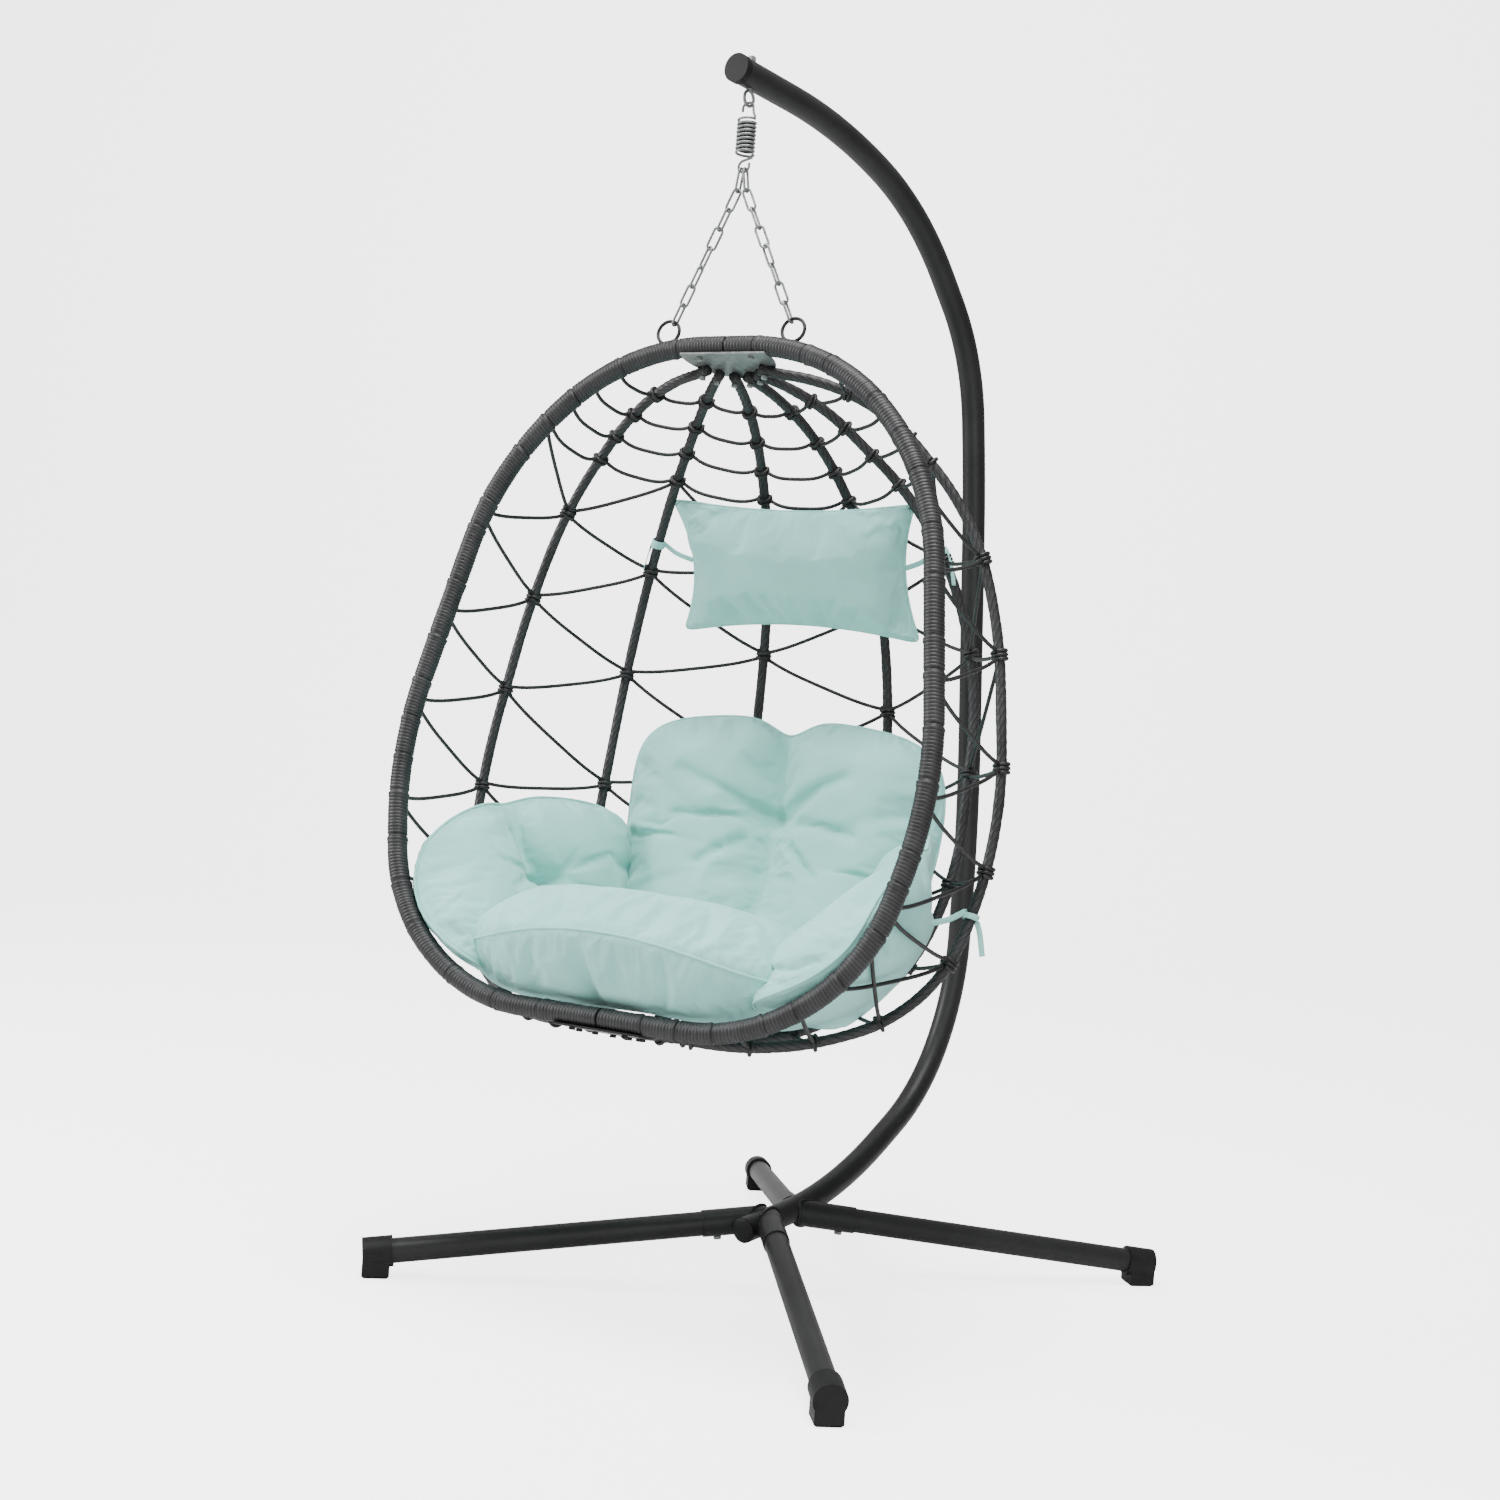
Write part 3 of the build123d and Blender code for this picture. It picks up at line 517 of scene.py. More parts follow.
def wind_tube(route, ways, side, samples, radius, strand, groove, starts):
    """Wound tube: radius + groove * (|sin(pi * turns)| ** 0.5 - 1) + wander, where turns counts the
    strand's turns along the route plus the share of a turn round it; starts are seams between lengths."""
    angles = even_angles(28)
    turns = (samples + wander(samples, 31.0, 1.2))[:, None] / strand + angles[None, :] / (2 * np.pi)
    ridge = np.abs(np.sin(np.pi * turns)) ** 0.5 - 1
    lift = random.uniform(-STRAND_UNEVEN, STRAND_UNEVEN, int(samples[-1] / strand) + 4)
    uneven = lift[np.clip(np.floor(turns).astype(int), 0, len(lift) - 1)]
    shape = radius + groove * ridge + uneven * (1 + ridge) + wander(samples, 60.0, 0.2)[:, None]
    for start in starts:
        away = samples[:, None] - start - 1.5 * np.sin(angles)
        swell = SEAM_SWELL * np.exp(-((away - SWELL_AT) / SWELL_WIDTH) ** 2)
        shape += swell - SEAM_DEPTH * np.exp(-(away / SEAM_WIDTH) ** 2)
    points = close_ends(carry_circle(route, ways, side, shape, angles))
    turns = np.concatenate((turns[:1], turns, turns[-1:]))
    uv = np.stack(np.broadcast_arrays(turns, angles[None, :] / (2 * np.pi)), axis=-1)
    return points, uv


def make_rim_winding(label, side_sign):
    """One half of the rim, wound from the top down; the other half has the sign turned round."""
    route, ways, samples = bent_route([(side_sign * x, 0, z) for x, z in RIM_CORNERS], RIM_STEP)
    seams = np.cumsum(random.uniform(*SEAM_SPACING, 30))
    seams = seams[seams < samples[-1] - LAST_SEAM]
    points, uv = wind_tube(route, ways, UPRIGHT, samples, RIM_RADIUS + 0.2, STRAND_WIDTH,
                           STRAND_GROOVE, seams)
    rows, around = points.shape[:2]
    faces = tube_faces(rows, around)
    piece = build_mesh(label, in_place(points.reshape(-1, 3) * MM), faces, uv.reshape(-1, 2))
    print(label, len(faces), "faces")
    return piece


# %% [markdown]
# The strand is matt plastic with fine drawn lines along it. On the wound pieces the strand runs round the
# tube, so the lines are a noise stretched round it: many times finer along the tube than around it. It reads
# the UV map, since a pattern on Object coordinates would cut straight through the bends.

# %% Strand finish


def make_strand(name, dark, light, fine, strands):
    """Strand finish on a UV map: fine lines along the strand, and painted shade in the gaps where u * strands
    is whole.
    """
    finish = Finish(name)
    lines = finish.noise(finish.place(fine, "UV"), 1.0, 3.0, 0.6)
    patches = finish.noise(finish.place((0.12, 0.5, 1), "UV"), 1.0, 2.0)
    count = finish.place((*strands, 1), "UV")
    where = finish.add("ShaderNodeSeparateXYZ", {"Vector": count})
    total = finish.add("ShaderNodeMath", {0: where.outputs["X"], 1: where.outputs["Y"]}, operation="ADD")
    gap = finish.add("ShaderNodeMath", {0: total.outputs[0], 1: 0.5}, operation="PINGPONG")
    # painted shade: the colour is darkened in the gaps between strands, where shade falls in the grooves
    painted_groove_shade = finish.ramp(gap.outputs[0], [(0.02, grey(0.12)), (0.16, grey(1.0))])
    tone = finish.ramp(lines, [(0.3, grey(dark)), (0.75, grey(light))])
    worn = finish.ramp(patches, [(0.35, grey(0.75)), (0.65, grey(1.3))])
    finish.set(Base_Color=finish.times(finish.times(tone, worn), painted_groove_shade), Roughness=0.5,
               Specular_IOR_Level=0.35, Normal=finish.bump(lines, 0.35, 0.0003))
    return finish.material


STRAND_DARK, STRAND_LIGHT = 0.012, 0.034
RIDGES = 6              # strands that lie side by side round a rib
strand_round = make_strand("strand_wound", STRAND_DARK, STRAND_LIGHT, (7.0, 1.6, 1), (1, 0))
strand_long = make_strand("strand_lengthwise", STRAND_DARK, STRAND_LIGHT, (0.05, 60.0, 1), (0, RIDGES))

print("strand finishes", strand_round.name, strand_long.name)

# %% [markdown]
# The rim is two bent halves, wound one after the other. Each winding takes the place of the plain one that
# came with the frame, and rides on the basket.

# %% Put the windings on the rim
SIDES = (("left", -1), ("right", 1))

for side_name, sign in SIDES:
    winding = make_rim_winding(f"wound_rim_{side_name}", sign)
    winding.data.materials.append(strand_round)
    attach(winding, "basket")
    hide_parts(f"rim_wrap_{side_name}")

# %% [markdown]
# ## The bound ribs
#
# Each rib's tube is covered by strands that run along it and spiral slowly, so its skin has ridges along
# its length instead of across it. Six ridges turn once in about 90 mm. Six separate strands could be laid
# round the tube, but one skin with six ridges has no hidden faces.

# %% The ribs' routes
RIB_ANGLES = (-62.5, -38.5, -13.0, 13.0, 38.5, 62.5)
SIDE_RIB = [(230, -53), (411, -224), (479, -391), (531, -698), (473, -966), (255, -1077)]
BACK_RIB = [(149, -53), (398, -187), (527, -411), (543, -750), (475, -933), (256, -1070)]
MIDDLE_RIB = [(210, -53), (450, -224), (545, -426), (600, -713), (500, -954), (238, -1077)]
RIB_SHAPES = (SIDE_RIB, BACK_RIB, MIDDLE_RIB, MIDDLE_RIB, BACK_RIB, SIDE_RIB)
RIB_TOP, RIB_BOTTOM, RIB_END = -53, -1073, 50
HUB_SETBACK = 7.0


def rib_route(index, step):
    """Rib route in the basket's frame: (r sin a, setback + r cos a, z) for the rib's angle a from straight
    back. Also returns the normal of the rib's plane."""
    angle = np.radians(RIB_ANGLES[index])
    flat = [(RIB_END, RIB_TOP), *RIB_SHAPES[index], (RIB_END, RIB_BOTTOM)]
    corners = [(r * np.sin(angle), HUB_SETBACK + r * np.cos(angle), z) for r, z in flat]
    route, ways, samples = bent_route(corners, step)
    return route, ways, samples, np.array((np.cos(angle), -np.sin(angle), 0.0))


middle_lengths = rib_route(2, 10.0)[2]
print("a middle rib is", round(float(middle_lengths[-1])), "mm long")

# %% [markdown]
# The skin is again a radius that changes along and round the tube, with its ridges turning as they go.

# %% Bind the ribs
RIB_RADIUS = 8.5
RIDGE_TURN = 92.0
RIDGE_DEPTH = 1.0
RIB_STEP = 2.4


def make_rib_binding(index):
    """Bound rib: radius + groove * (|cos(ridges * (angle - turn) / 2)| ** 0.6 - 1), turning with length."""
    route, ways, samples, side = rib_route(index, RIB_STEP)
    angles = even_angles(36)
    twist = 2 * np.pi * (samples + wander(samples, 70.0, 6.0)) / RIDGE_TURN
    phase = RIDGES * (angles[None, :] - twist[:, None]) / 2
    ridge = np.abs(np.cos(phase)) ** 0.6 - 1
    shape = RIB_RADIUS - 0.05 + RIDGE_DEPTH * ridge + wander(samples, 26.0, 0.3)[:, None]
    points = close_ends(carry_circle(route, ways, side, shape, angles))
    along = np.concatenate((samples[:1], samples, samples[-1:]))
    turned = (angles[None, :] - np.pad(twist, 1, "edge")[:, None]) / (2 * np.pi)
    uv = np.stack(np.broadcast_arrays(along[:, None] / 10, turned), axis=-1)
    faces = tube_faces(*points.shape[:2])
    placed = in_place(points.reshape(-1, 3) * MM)
    return build_mesh(f"bound_rib_{index + 1}", placed, faces, uv.reshape(-1, 2))


for index in range(len(RIB_ANGLES)):
    binding = make_rib_binding(index)
    binding.data.materials.append(strand_long)
    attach(binding, "basket")
    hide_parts("rib_wraps")
print("bound", len(RIB_ANGLES), "ribs")

# %% [markdown]
# ## The knotted net
#
# Cords run from each rib to the next, close rows straight across near the top and wide rows zigzagging
# lower down. Each row is known by its height on the tube it is tied to, so the eight upright tubes come
# first.

# %% The upright tubes that carry the net
CLOSE_ROWS = (-65, -89, -118, -151)
BOTTOM_ROWS = (-1030, -1056, -1068, -1072)
WIDE_ROWS = ((-306, -471, -620, -778, -901), (-236, -377, -535, -703, -861, -981),
             (-283, -453, -650, -821, -961), (-238, -380, -561, -751, -931),
             (-290, -459, -621, -791, -951), (-249, -387, -576, -757, -895),
             (-286, -429, -598, -755, -897), (-240, -371, -535, -703, -861, -981))
ROUTE_STEP = 2.0
BOTTOM_REACH = (400, 310, 220, 135)     # how far from the middle each bottom row is tied
LEVEL_RUN = -700        # the bottom rows lie below this height


def make_columns():
    """The eight upright tubes of the net, left to right: route, directions, normal of its plane, radius."""
    columns = []
    for sign, at in ((-1, 0), (1, 7)):
        route, ways, _ = bent_route([(sign * x, 0, z) for x, z in RIM_CORNERS], ROUTE_STEP)
        columns.append((at, route, ways, UPRIGHT, RIM_RADIUS))
    for index in range(len(RIB_ANGLES)):
        route, ways, _, side = rib_route(index, ROUTE_STEP)
        columns.append((index + 1, route, ways, side, RIB_RADIUS))
    return [column[1:] for column in sorted(columns, key=lambda c: c[0])]


columns = make_columns()
print("net on", len(columns), "upright tubes")


def at_height(column, height):
    """Point, direction and index of a column's route where it first passes a height on its way down; a bottom
    row's height stands for a place on the level run, counted back from the column's lower end."""
    route, ways = column[:2]
    if height in BOTTOM_ROWS:
        from_middle = BOTTOM_REACH[BOTTOM_ROWS.index(height)]
        outward = np.hypot(route[:, 0], route[:, 1])
        lower = route[:, 2] < LEVEL_RUN
        index = int(np.argmin(np.abs(outward - from_middle) + 1e6 * ~lower))
    else:
        index = int(np.argmax(route[:, 2] < height))
    return route[index], ways[index], index


# %% [markdown]
# One cord goes down each panel in a zigzag: from a knot on one side to the next lower one on the other. So
# the knots of both sides, sorted by height, already give the cord's way, and no list of cords is needed.

# %% Which knots are joined
KNOT_SPREAD = 5.0       # the cord comes to a knot above it and leaves below it


def panel_spans(left_rows, right_rows):
    """Cords of one panel: rows straight across, then each knot joined to the next lower one on the other
    side."""
    spans = [((0, row), (1, row)) for row in CLOSE_ROWS + BOTTOM_ROWS]
    knots = sorted([(row, 0) for row in left_rows] + [(row, 1) for row in right_rows], reverse=True)
    above = (1 - knots[0][1], CLOSE_ROWS[-1])
    for row, side in knots:
        if side != above[0]:
            spans.append(((above[0], above[1] - KNOT_SPREAD / 2), (side, row + KNOT_SPREAD / 2)))
        above = (side, row)
    return spans


print("first panel", len(panel_spans(WIDE_ROWS[0], WIDE_ROWS[1])), "cords")

# %% [markdown]
# The cord is laid from three strands. Its section is a circle with three low waves that turn along it, which
# is far lighter than three real strands and looks the same from an arm's length.

# %% Twist a cord
CORD_LAY = 0.07         # height of the waves as a share of the radius
CORD_TWIST = 11.0
BLOCK = 4000


def cord_tube(path, radius, around, twist=CORD_TWIST, lay=CORD_LAY):
    """Round cord along a path: radius * (1 + lay * cos(3 (angle - 2 pi length / twist)))."""
    steps = np.diff(path, axis=0)
    lengths = np.concatenate(((0,), np.cumsum(np.linalg.norm(steps, axis=1))))
    ways = np.gradient(path, axis=0)
    ways /= np.linalg.norm(ways, axis=1)[:, None]
    across = np.cross(ways, (0.013, 0.017, 1.0))
    across /= np.linalg.norm(across, axis=1)[:, None]
    angles = even_angles(around)
    shape = 1 + lay * np.cos(3 * (angles[None, :] - 2 * np.pi * lengths[:, None] / twist))
    ring = spokes(angles, across, np.cross(ways, across))
    return close_ends(path[:, None, :] + radius * shape[:, :, None] * ring)


def near_lines(points, lines):
    """Distance from each point to the nearest point of the lines, worked out in blocks."""
    nearest = np.full(len(points), np.inf)
    for start in range(0, len(points), BLOCK):
        block = points[start:start + BLOCK]
        gaps = np.linalg.norm(block[:, None, :] - lines[None, :, :], axis=2)
        nearest[start:start + BLOCK] = gaps.min(axis=1)
    return nearest


def gather(pieces):
    """Joins the point grids of closed tubes into one point list and one face list."""
    points, faces, start = [], [], 0
    for grid in pieces:
        rows, around = grid.shape[:2]
        points.append(grid.reshape(-1, 3))
        faces += tube_faces(rows, around, start)
        start += rows * around
    return np.concatenate(points), faces


# %% [markdown]
# A tied cord droops a little. Its droop is flatter in the middle than a parabola, because the knots hold the
# stiff cord level for a way. A rope simulation would find the same line and take far longer.

# %% Hang the net's cords
CORD_RADIUS = 3.1
ROW_SAG, WIDE_SAG = 0.1, 0.03
SAG_POWER = 3.2
CORD_STEP = 2.2


def make_net_panel(index):
    """All cords between two neighbouring uprights: a straight line less
    sag * length * (1 - |2 share - 1| ** power)."""
    tubes = []
    for (side_a, row_a), (side_b, row_b) in panel_spans(WIDE_ROWS[index], WIDE_ROWS[index + 1]):
        column_a, column_b = columns[index + side_a], columns[index + side_b]
        point_a, _, _ = at_height(column_a, row_a)
        point_b, _, _ = at_height(column_b, row_b)
        line = point_b - point_a
        length = np.linalg.norm(line)
        start = point_a + line / length * (column_a[3] - 0.5)
        end = point_b - line / length * (column_b[3] - 0.5)
        share = np.linspace(0, 1, max(8, int(length / CORD_STEP)))[:, None]
        path = start + (end - start) * share
        sag = ROW_SAG if row_a in CLOSE_ROWS and row_b == row_a else WIDE_SAG
        path[:, 2] -= (sag * length * (1 - np.abs(2 * share - 1) ** SAG_POWER))[:, 0]
        tubes.append(cord_tube(path, CORD_RADIUS, 10))
    points, faces = gather(tubes)
    return build_mesh(f"net_cords_{index + 1}", in_place(points * MM), faces)


# %% [markdown]
# Where a cord meets a tube it is wound round it, which leaves the lumps that the ribs show. A few close turns
# of the same cord say that better than a ball would.

# %% Wind the knots
CLOSE_TURNS, WIDE_TURNS = 1.6, 2.6
TURN_STEPS = 26


def knot_turns(column, height, turns, radius):
    """Cord wound round a tube: its middle follows route + (tube + cord) * (cos a across + sin a side) while
    the place on the route moves one cord width for each turn of the angle a."""
    route, _, side, tube = column
    _, way, index = at_height(column, height)
    across = np.cross(side, way)
    angle = np.linspace(-np.pi * turns, np.pi * turns, int(TURN_STEPS * turns))
    reach = tube + radius * 0.72
    shift = angle / (2 * np.pi) * radius * 2.05
    path = route[index] + way * shift[:, None] + reach * spokes(angle, across, side)
    return cord_tube(path, radius, 8)


def make_knots(index):
    """All knots of one upright tube."""
    column = columns[index]
    tubes = [knot_turns(column, row, CLOSE_TURNS, CORD_RADIUS) for row in CLOSE_ROWS + BOTTOM_ROWS]
    tubes += [knot_turns(column, row, WIDE_TURNS, CORD_RADIUS) for row in WIDE_ROWS[index]]
    points, faces = gather(tubes)
    return build_mesh(f"net_knots_{index + 1}", in_place(points * MM), faces)


# %% [markdown]
# The cord is dull black plastic fibre. Its twist is in the mesh, so the finish only adds fibre and wear.

# %% Cord finish and the net's pieces


def make_cord_finish():
    finish = Finish("net_cord")
    place = finish.place((1, 1, 1))
    wear = finish.noise(place, 60.0)
    fibre = finish.noise(place, 1800.0, 2.0)
    finish.set(Base_Color=finish.ramp(wear, [(0.3, grey(0.008)), (0.7, grey(0.02))]),
               Roughness=0.5, Specular_IOR_Level=0.35, Normal=finish.bump(fibre, 0.3, 0.0002))
    return finish.material


cord_finish = make_cord_finish()
PANELS = len(columns) - 1
for index in range(PANELS):
    panel = make_net_panel(index)
    panel.data.materials.append(cord_finish)
    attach(panel, "basket")
    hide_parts(f"net_{index + 1}")
for index in range(1, PANELS):
    knots = make_knots(index)
    knots.data.materials.append(cord_finish)
    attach(knots, "basket")
print("hung", PANELS, "net panels")

# %% [markdown]
# ## Welded sockets
#
# The four sockets are welded to the pole's foot. A short sleeve closes each joint, and a rippled bead runs
# round it where the socket's wall comes out of the pole. The line where two tubes meet has a formula only
# when both are straight, so we step along the socket's wall and take the first place outside the pole.

# %% The pole's foot and the legs' axes
POLE_FOOT = [(0, 547, 462), (0, 450, 279), (0, 177, 127), (0, -75, 105)]
POLE_RADIUS = 21.0
SOCKET_SIDE_GAP = 12.0
LEG_CROSS_Y, LEG_ROOT_SPREAD, LEG_ROOT_HEIGHT = 25.0, 35.5, 115.0
LEG_RUN, LEG_FALL = 658.0, 79.0
FRONT_LEG_ANGLE, REAR_LEG_ANGLE = np.radians(43.9), np.radians(40.9)

pole_route, pole_ways, _ = bent_route(POLE_FOOT, 1.0)


def leg_axis(side, ahead):
    """Root, direction, and two directions across of a leg's axis."""
    angle = FRONT_LEG_ANGLE if ahead < 0 else REAR_LEG_ANGLE
    root = np.array((0, LEG_CROSS_Y + ahead * LEG_ROOT_SPREAD, LEG_ROOT_HEIGHT))
    way = np.array((side * np.sin(angle) * LEG_RUN, ahead * np.cos(angle) * LEG_RUN, -LEG_FALL))
    way /= np.linalg.norm(way)
    across = np.cross(way, (0, 0, 1.0))
    across /= np.linalg.norm(across)
    return root, way, across, np.cross(way, across)


axes = [leg_axis(side, ahead) for side in (-1, 1) for ahead in (-1, 1)]
print("legs turned", [round(float(np.degrees(np.arctan2(way[1], way[0]))), 1) for _, way, _, _ in axes])

# %% [markdown]
# Sleeve and plug are turned shapes: rings of changing radius on an axis, as a lathe would cut them. The bead
# is a cord whose twist gives it the ripple of a weld.

# %% Sleeves, beads and the plug
SOCKET_RADIUS = 22.2
SLEEVE_END = 42.0
SLEEVE_PLACES = np.array((0, 12.0, 24.0, SLEEVE_END - 3.0, SLEEVE_END))
SLEEVE_RADII = SOCKET_RADIUS - np.array((3.5, 1.2, 0.3, 0, 0.3))
BEAD_RADIUS = 2.4
BEAD_RIPPLE = 4.0
BEAD_ANGLES = 97
PLUG_DOME = 6.0
PLUG_RIM = 3.0          # straight part of the plug that shows before its dome


def lathe(middle, way, along, radius, ring):
    """Closed turned shape: middle + way * along + radius * ring, one ring for each step along."""
    return close_ends((middle + way * along[:, None])[:, None, :] + radius[:, None, None] * ring[None])


def make_sleeve(root, way, across, above):
    """Closed collar on the leg's axis, widening from inside the pole to the socket's own radius."""
    return lathe(root, way, SLEEVE_PLACES, SLEEVE_RADII, spokes(even_angles(48), across, above))


def make_bead(root, way, across, above):
    """Bead along the socket's cut edge: for each angle, the first place on the wall's line that is farther
    than the pole's radius from its middle line and farther than the side gap from its middle plane."""
    angles = np.linspace(0, 2 * np.pi, BEAD_ANGLES)
    wall = spokes(angles, across, above) * SOCKET_RADIUS
    along = np.linspace(0, 60, 121)
    lines = root + wall[:, None, :] + way * along[None, :, None]
    gaps = near_lines(lines.reshape(-1, 3), pole_route).reshape(len(angles), len(along))
    outside = (gaps > POLE_RADIUS) & (np.abs(lines[:, :, 0]) > SOCKET_SIDE_GAP)
    reach = along[np.argmax(outside, axis=1)]
    reach = np.convolve(np.pad(reach[:-1], 2, "wrap"), np.ones(5) / 5, "valid")
    path = root + wall[:-1] + way * reach[:, None]
    coarse = np.arange(BEAD_ANGLES)
    fine = np.linspace(0, BEAD_ANGLES - 1, 4 * BEAD_ANGLES - 3)
    closed = np.concatenate((path, path[:1]))
    path = np.stack([np.interp(fine, coarse, closed[:, k]) for k in range(3)], axis=1)
    return cord_tube(path, BEAD_RADIUS, 10, BEAD_RIPPLE)


def make_plug():
    """Domed end: rings of radius R sin(a) pushed out by the dome's height times cos(a)."""
    end, way = pole_route[-1], pole_ways[-1]
    side = np.array((1.0, 0, 0))
    steps = np.linspace(np.pi / 2, 0.04, 12)
    radius = np.concatenate(((POLE_RADIUS,), POLE_RADIUS * np.sin(steps)))
    out = np.concatenate(((0.0,), PLUG_RIM + PLUG_DOME * np.cos(steps)))
    return lathe(end, way, out, radius, spokes(even_angles(48), side, np.cross(way, side)))


print("sleeves", SLEEVE_END, "mm long, beads", 2 * BEAD_RADIUS, "mm thick")

# %% [markdown]
# The four sleeves become one mesh and the four beads another, since they never move apart.

# %% Weld the sockets and plug the pole


def joined_mesh(name, grids):
    """One mesh from closed tubes given in millimetres."""
    points, faces = gather(grids)
    return build_mesh(name, points * MM, faces)


sleeves = joined_mesh("socket_sleeves", [make_sleeve(*axis) for axis in axes])
beads = joined_mesh("socket_welds", [make_bead(*axis) for axis in axes])
plug = joined_mesh("pole_plug", [make_plug()])
for piece, look, slot_name in ((sleeves, powder_coat, "frame_paint"),
                               (beads, powder_coat, "frame_paint"),
                               (plug, moulded_plastic, "black_plastic")):
    piece.data.materials.append(look)
    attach(piece, "stand")
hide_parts("pole_bottom_plug")
print("welded", len(axes), "sockets")

# %% [markdown]
# ## The spring's coil
#
# The coil stretches when someone sits down: its top stays with the upper hook and its bottom follows the
# lower one. A rigid coil would leave the lower hook behind; here it is wound as a single helix.

# %% Wind the spring
COIL_TURNS, COIL_PITCH, COIL_RADIUS, COIL_WIRE = 9.0, 6.1, 13.5, 2.0
HANGER_Y = -292.0
coil_box = np.array(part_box("spring_coil"))
COIL_BOTTOM = coil_box[:, 2].mean() / MM - COIL_TURNS * COIL_PITCH / 2
STEPS_A_TURN = 40


def make_coil():
    """Helix (r cos a, r sin a, pitch * a / 2 pi), turned with the basket and set below the eyebolt."""
    angle = np.linspace(0, 2 * np.pi * COIL_TURNS, int(COIL_TURNS * STEPS_A_TURN))
    flat = angle + BASKET_TURN
    height = COIL_BOTTOM + COIL_PITCH * angle / (2 * np.pi)
    path = np.stack((COIL_RADIUS * np.cos(flat), HANGER_Y + COIL_RADIUS * np.sin(flat), height), axis=1)
    return joined_mesh("coil", [cord_tube(path, COIL_WIRE, 14, lay=0.0)])


coil = make_coil()
coil.data.materials.append(zinc_plate)
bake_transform(coil)
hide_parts("spring_coil")
coil_corners = np.array([corner[:] for corner in coil.bound_box])
print("coil", coil_corners.min(axis=0).round(4), coil_corners.max(axis=0).round(4))
print("frame's", coil_box.round(4).tolist())

# %% [markdown]
# ## Stuffed cushions
#
# A cushion is two sheets of cloth sewn edge to edge and filled. Its seam is a closed line on a bent
# middle surface, and both sheets rise from it, steeply at first and then flat. It could be sculpted, but nine
# points of a middle surface and a few heights say the same and can be changed at any time.

# %% The cushion's middle surface
SMALL = 1e-3            # step for a slope


def middle_surface(controls, u, v):
    """Quadratic surface through nine points: sum of L_i(u) L_j(v) P_ij, with L the three parabolas that are
    one at -1, 0 or 1 and nothing at the other two."""
    controls = np.array(controls, float)
    weights_u = np.stack((u * (u - 1) / 2, 1 - u * u, u * (u + 1) / 2), axis=-1)
    weights_v = np.stack((v * (v - 1) / 2, 1 - v * v, v * (v + 1) / 2), axis=-1)
    return np.einsum("...i,...j,ijk->...k", weights_u, weights_v, controls)


def surface_normal(controls, u, v):
    """Cross product of the middle surface's two slopes, made one long."""
    slope_u = middle_surface(controls, u + SMALL, v) - middle_surface(controls, u - SMALL, v)
    slope_v = middle_surface(controls, u, v + SMALL) - middle_surface(controls, u, v - SMALL)
    normal = np.cross(slope_u, slope_v)
    return normal / np.linalg.norm(normal, axis=-1, keepdims=True)


# %% [markdown]
# The seam is a rounded square on that surface, drawn in at a notch where two lobes meet. Short pleats run in
# from it, since cloth that is flat round its edge has to go somewhere when it is filled.

# %% The seam and its pleats


def seam_share(angle, cushion):
    """Distance to the seam in a direction: (|cos|^n + |sin|^n) ** (-1/n), a circle at n = 2 and a square
    for large n, less a notch of depth * exp(-(angle from the notch / width) ** 2) where it is drawn in."""
    squareness = cushion["squareness"]
    reach = (np.abs(np.cos(angle)) ** squareness + np.abs(np.sin(angle)) ** squareness) ** (-1 / squareness)
    for at, depth, width in cushion["notches"]:
        off = (angle - np.radians(at) + np.pi) % (2 * np.pi) - np.pi
        reach = reach * (1 - depth * np.exp(-(off / width) ** 2))
    return reach


def gathers(angle, start):
    """Uneven pleats round a seam: the positive part of cos(13 a + 3 sin(2 a + start)) cos(5 a + start),
    squared."""
    wave = np.cos(13 * angle + 3 * np.sin(2 * angle + start)) * np.cos(5 * angle + start)
    return np.clip(wave, 0, 1) ** 2


# %% [markdown]
# Sewn channels and buttons pull one sheet down, and creases fan out from a button.

# %% Channels and creases


def channel_depth(cushion, u, v):
    """Greatest over the channels of depth * exp(-(distance / width) ** 2), where distance runs from the
    channel's line in the cushion's own u and v."""
    depth = np.zeros(np.broadcast(u, v).shape)
    for (u0, v0), (u1, v1), size, width in cushion["channels"]:
        line = np.array((u1 - u0, v1 - v0), float)
        length = max(line @ line, 1e-6)
        share = np.clip(((u - u0) * line[0] + (v - v0) * line[1]) / length, 0, 1)
        distance = np.hypot(u - u0 - share * line[0], v - v0 - share * line[1])
        depth = np.maximum(depth, size * np.exp(-(distance / width) ** 2))
    return depth


# %% [markdown]
# Both sheets together are one closed grid, with a single point in the middle of each.

# %% The cushion's start shape
RINGS, AROUND = 36, 132
UPPER_START, LOWER_START = 0.7, 1.9     # where the pleats of each sheet begin


